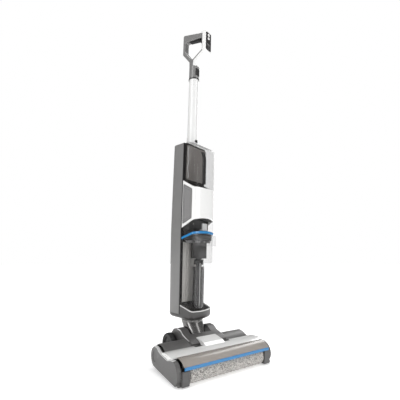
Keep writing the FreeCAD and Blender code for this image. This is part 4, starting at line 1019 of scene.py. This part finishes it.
@dataclass
class CleanTank(Assembly):
    """The upper tank in smoked clear plastic, with its filler cap and pick-up tube."""

    wall_inset: float = 3.2
    side_inset: float = 3.4
    wall_start: float = 30.0
    wall_stop: float = 7.0
    wave: float = 2.0
    wave_length: float = 9.0
    strip_side: float = -10.0

    def build(self) -> None:
        """The smoked wall, the cap, and the dark pick-up strip that runs up inside the front."""
        self.eased("clean_tank", SMOKE, 0.6)
        self.eased("tank_cap", DARK, 0.8)
        self.pick_up()
        self.rear_wall()

    def rear_wall(self) -> None:
        """The smoked rear wall with a wavy rib up each side: x = e - w sin(h / l)."""
        low, high = local_box("clean_tank")
        half = (high[0] - low[0]) / 2 - self.side_inset
        bottom, top = low[2] + self.wall_start, high[2] - self.wall_stop
        back = high[1] - self.wall_inset
        loop = np.array([(-half, back, bottom), (half, back, bottom), (half, back, top), (-half, back, top)])
        loop = rounded_loop(loop[:, ::2], 8.0)
        flat = in_body(np.column_stack([loop[:, 0], np.full(len(loop), back), loop[:, 1]]))
        self.add("clean_rear_wall", plate(flat, FORWARD, 0.8 * MM, 0.3 * MM), "clean", SMOKE_WALL)
        height = np.linspace(bottom + 6, top - 6, 48)
        for i, sign in enumerate((-1.0, 1.0)):
            side = sign * (half - 6 - self.wave * np.sin((height - bottom) / self.wave_length))
            path = in_body(np.stack([side, np.full(48, back - 1.8), height], 1))
            self.add(f"clean_rib_{i}", strip(path, SIDE, FORWARD, 1.1 * MM, 1.6 * MM), "clean", LATCH)

    def pick_up(self) -> None:
        """A flat dark strip inside the front wall, rising straight and bending in under the crown."""
        low, high = local_box("clean_tank")
        x = self.strip_side
        points = np.array([(x, low[1] + 7, low[2] + 14), (x, low[1] + 7, high[2] - 90),
                           (x, low[1] + 7.5, high[2] - 58), (x, low[1] + 14, high[2] - 34)])
        path = in_body(smooth_path(points, 40))
        ribbon = strip(path, SIDE, FORWARD, 9.0 * MM, 3.0 * MM)
        self.add("pick_up_tube", ribbon, "clean", BLACK_GLOSS)


# ------------------------------------------------------------------ the handle


@dataclass
class Handle(Assembly):
    """The tube and the looped grip with its panel, buttons and trigger."""

    slots: int = 5

    def build(self) -> None:
        """Ease the tube and grip, and fit the panel's display and speaker slots."""
        self.eased("tube_socket", TUBE_WHITE, 0.8)
        self.eased("handle_tube", TUBE_WHITE, 0.6)
        self.eased("tube_collar", BLACK_GLOSS, 0.8, 3)
        self.eased("handle_left", SHELL, 1.2, 3)
        self.eased("handle_right", SHELL, 1.2, 3)
        self.eased("handle_bezel", WHITE, 0.8, 3)
        self.eased("control_panel", BLACK_GLOSS, 0.6)
        self.eased("power_button", WHITE, 0.5, 3)
        self.eased("mode_button", WHITE, 0.5, 3)
        self.eased("trigger", DARK, 0.8, 3)
        self.eased("grip_button", DARK, 0.6)
        self.eased("tube_button", DARK, 0.6)
        self.panel()

    def panel(self) -> None:
        """A thin display window and a row of slots below the two buttons."""
        low, high = local_box("control_panel")
        front = low[1]
        middle = (low[0] + high[0]) / 2
        window = np.array([(middle - 7.5, low[2] + 18), (middle + 7.5, low[2] + 18),
                           (middle + 7.5, low[2] + 27), (middle - 7.5, low[2] + 27)])
        loop = rounded_loop(window, 1.5)
        flat = in_body(np.column_stack([loop[:, 0], np.full(len(loop), front + 0.4), loop[:, 1]]))
        self.add("display_glass", plate(flat, FORWARD, 0.7 * MM, 0.4 * MM), "main", INLAY_RIM)
        for i in range(self.slots):
            height = low[2] + 4 + i * 2.4
            x = np.linspace(middle - 6, middle + 6, 8)
            path = in_body(np.stack([x, np.full_like(x, front - 0.1), np.full_like(x, height)], 1))
            self.add(f"speaker_bar_{i}", strip(path, UP, FORWARD, 0.5 * MM, 0.5 * MM), "main", INLAY_RIM)


# ------------------------------------------------------------------ the studio


@dataclass(frozen=True)
class SoftBox:
    """One soft light: where it stands, its width and height in metres, and its watts."""

    name: str
    place: Point
    size: tuple[float, float]
    power: float


LIGHTS = (
    SoftBox("key", (-1.9, -0.5, 1.3), (0.5, 2.0), 19.0),
    SoftBox("fill", (0.9, -1.9, 1.2), (0.7, 2.0), 15.0),
    SoftBox("top", (0.1, -0.1, 2.7), (1.5, 1.5), 30.0),
    SoftBox("back", (1.6, 0.9, 1.2), (0.6, 2.0), 14.0),
)


@dataclass
class Studio:
    """The pale floor, the soft lights, the bright surroundings and the camera."""

    camera_place: Point = (-0.5069, -0.7554, 0.3018)
    camera_turn: Point = (101.9, 0.0, -33.4)
    lens: float = 24.69
    floor_half: float = 12.0
    ambient: float = 0.26

    def build(self) -> None:
        """Floor, world, lights and camera."""
        self.floor()
        self.world()
        for box in LIGHTS:
            self.light(box)
        self.camera()

    def floor(self) -> None:
        """A wide flat floor with a soft grain, and a painted glow that is dim near the object and grows to
        full white further away.
        """
        half = self.floor_half
        steps = np.linspace(-half, half, 9)
        x, y = np.meshgrid(steps, steps)
        points = np.stack([x, y, np.zeros_like(x)], -1).reshape(-1, 3)
        mesh = mesh_of("floor", Surface(points, grid_quads(9, 9, False)))
        floor = bpy.data.objects.new("floor", mesh)
        bpy.context.scene.collection.objects.link(floor)
        shader = Shader(bpy.data.materials.new("pale_floor"))
        grain = shader.noise(shader.place(), 40.0, 3.0)
        colour = shader.blend(grain, rgba((0.93, 0.93, 0.93)), rgba((0.96, 0.96, 0.96)))
        # Painted light: the floor glows, weakly near the object and fully white from about 2.3 m out.
        away = shader.node("ShaderNodeVectorMath", {"operation": "LENGTH"}, {0: shader.place()}, "Value")
        share = ((away - 0.3) * 0.5).clamped(0.0, 1.0)
        painted_glow = shader.blend(share, rgba((0.4, 0.4, 0.4)), rgba((1.0, 1.0, 1.0)))
        surface = shader.node("ShaderNodeBsdfPrincipled", None,
                              {"Base Color": colour, "Roughness": 0.9, "Specular IOR Level": 0.1,
                               "Emission Color": painted_glow, "Emission Strength": 1.0}, "BSDF")
        mesh.materials.append(shader.finish(surface))
        floor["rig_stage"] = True

    def world(self) -> None:
        """White surroundings, a little dimmer as a light than as a background."""
        world = bpy.data.worlds.new("studio")
        bpy.context.scene.world = world
        shader = Shader(world)
        seen = shader.node("ShaderNodeLightPath", output="Is Camera Ray")
        strength = seen * (1.0 - self.ambient) + self.ambient
        white = {"Color": rgba((1.0, 1.0, 1.0)), "Strength": strength}
        shader.finish(shader.node("ShaderNodeBackground", None, white))

    def light(self, box: SoftBox) -> None:
        """Set up one light, aimed at the middle of the object.

        Args:
            box: The light's place, size and power.
        """
        lamp = bpy.data.lights.new(box.name, "AREA")
        lamp.shape = "RECTANGLE"
        lamp.size, lamp.size_y = box.size
        lamp.energy = box.power
        item = bpy.data.objects.new(box.name, lamp)
        bpy.context.scene.collection.objects.link(item)
        low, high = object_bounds()
        middle = np.add(low, high) / 2
        aim = np.array(box.place) - middle
        flat = math.hypot(aim[0], aim[1])
        item.location = box.place
        item.rotation_euler = (math.atan2(flat, aim[2]), 0.0, math.atan2(aim[1], aim[0]) + math.pi / 2)

    def camera(self) -> None:
        """The camera, low and close, looking up the machine from its front left."""
        data = bpy.data.cameras.new("camera")
        data.lens = self.lens
        data.sensor_width = 36.0
        item = bpy.data.objects.new("camera", data)
        bpy.context.scene.collection.objects.link(item)
        item.location = self.camera_place
        item.rotation_euler = tuple(math.radians(turn) for turn in self.camera_turn)
        bpy.context.scene.camera = item
        bpy.context.scene.view_settings.view_transform = "Standard"


def main() -> None:
    """Build every sub-assembly in order."""
    logging.basicConfig(level=logging.INFO)
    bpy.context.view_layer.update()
    assemblies = (Foot(), Roller(), Wheels(), Cover(), Neck(), Shells(), DirtyTank(), CleanTank(), Handle())
    for assembly in assemblies:
        assembly.build()
        for name in assembly.made:
            LOG.info("%s: %s", type(assembly).__name__, name)
    Studio().build()


if __name__ == "__main__":
    main()
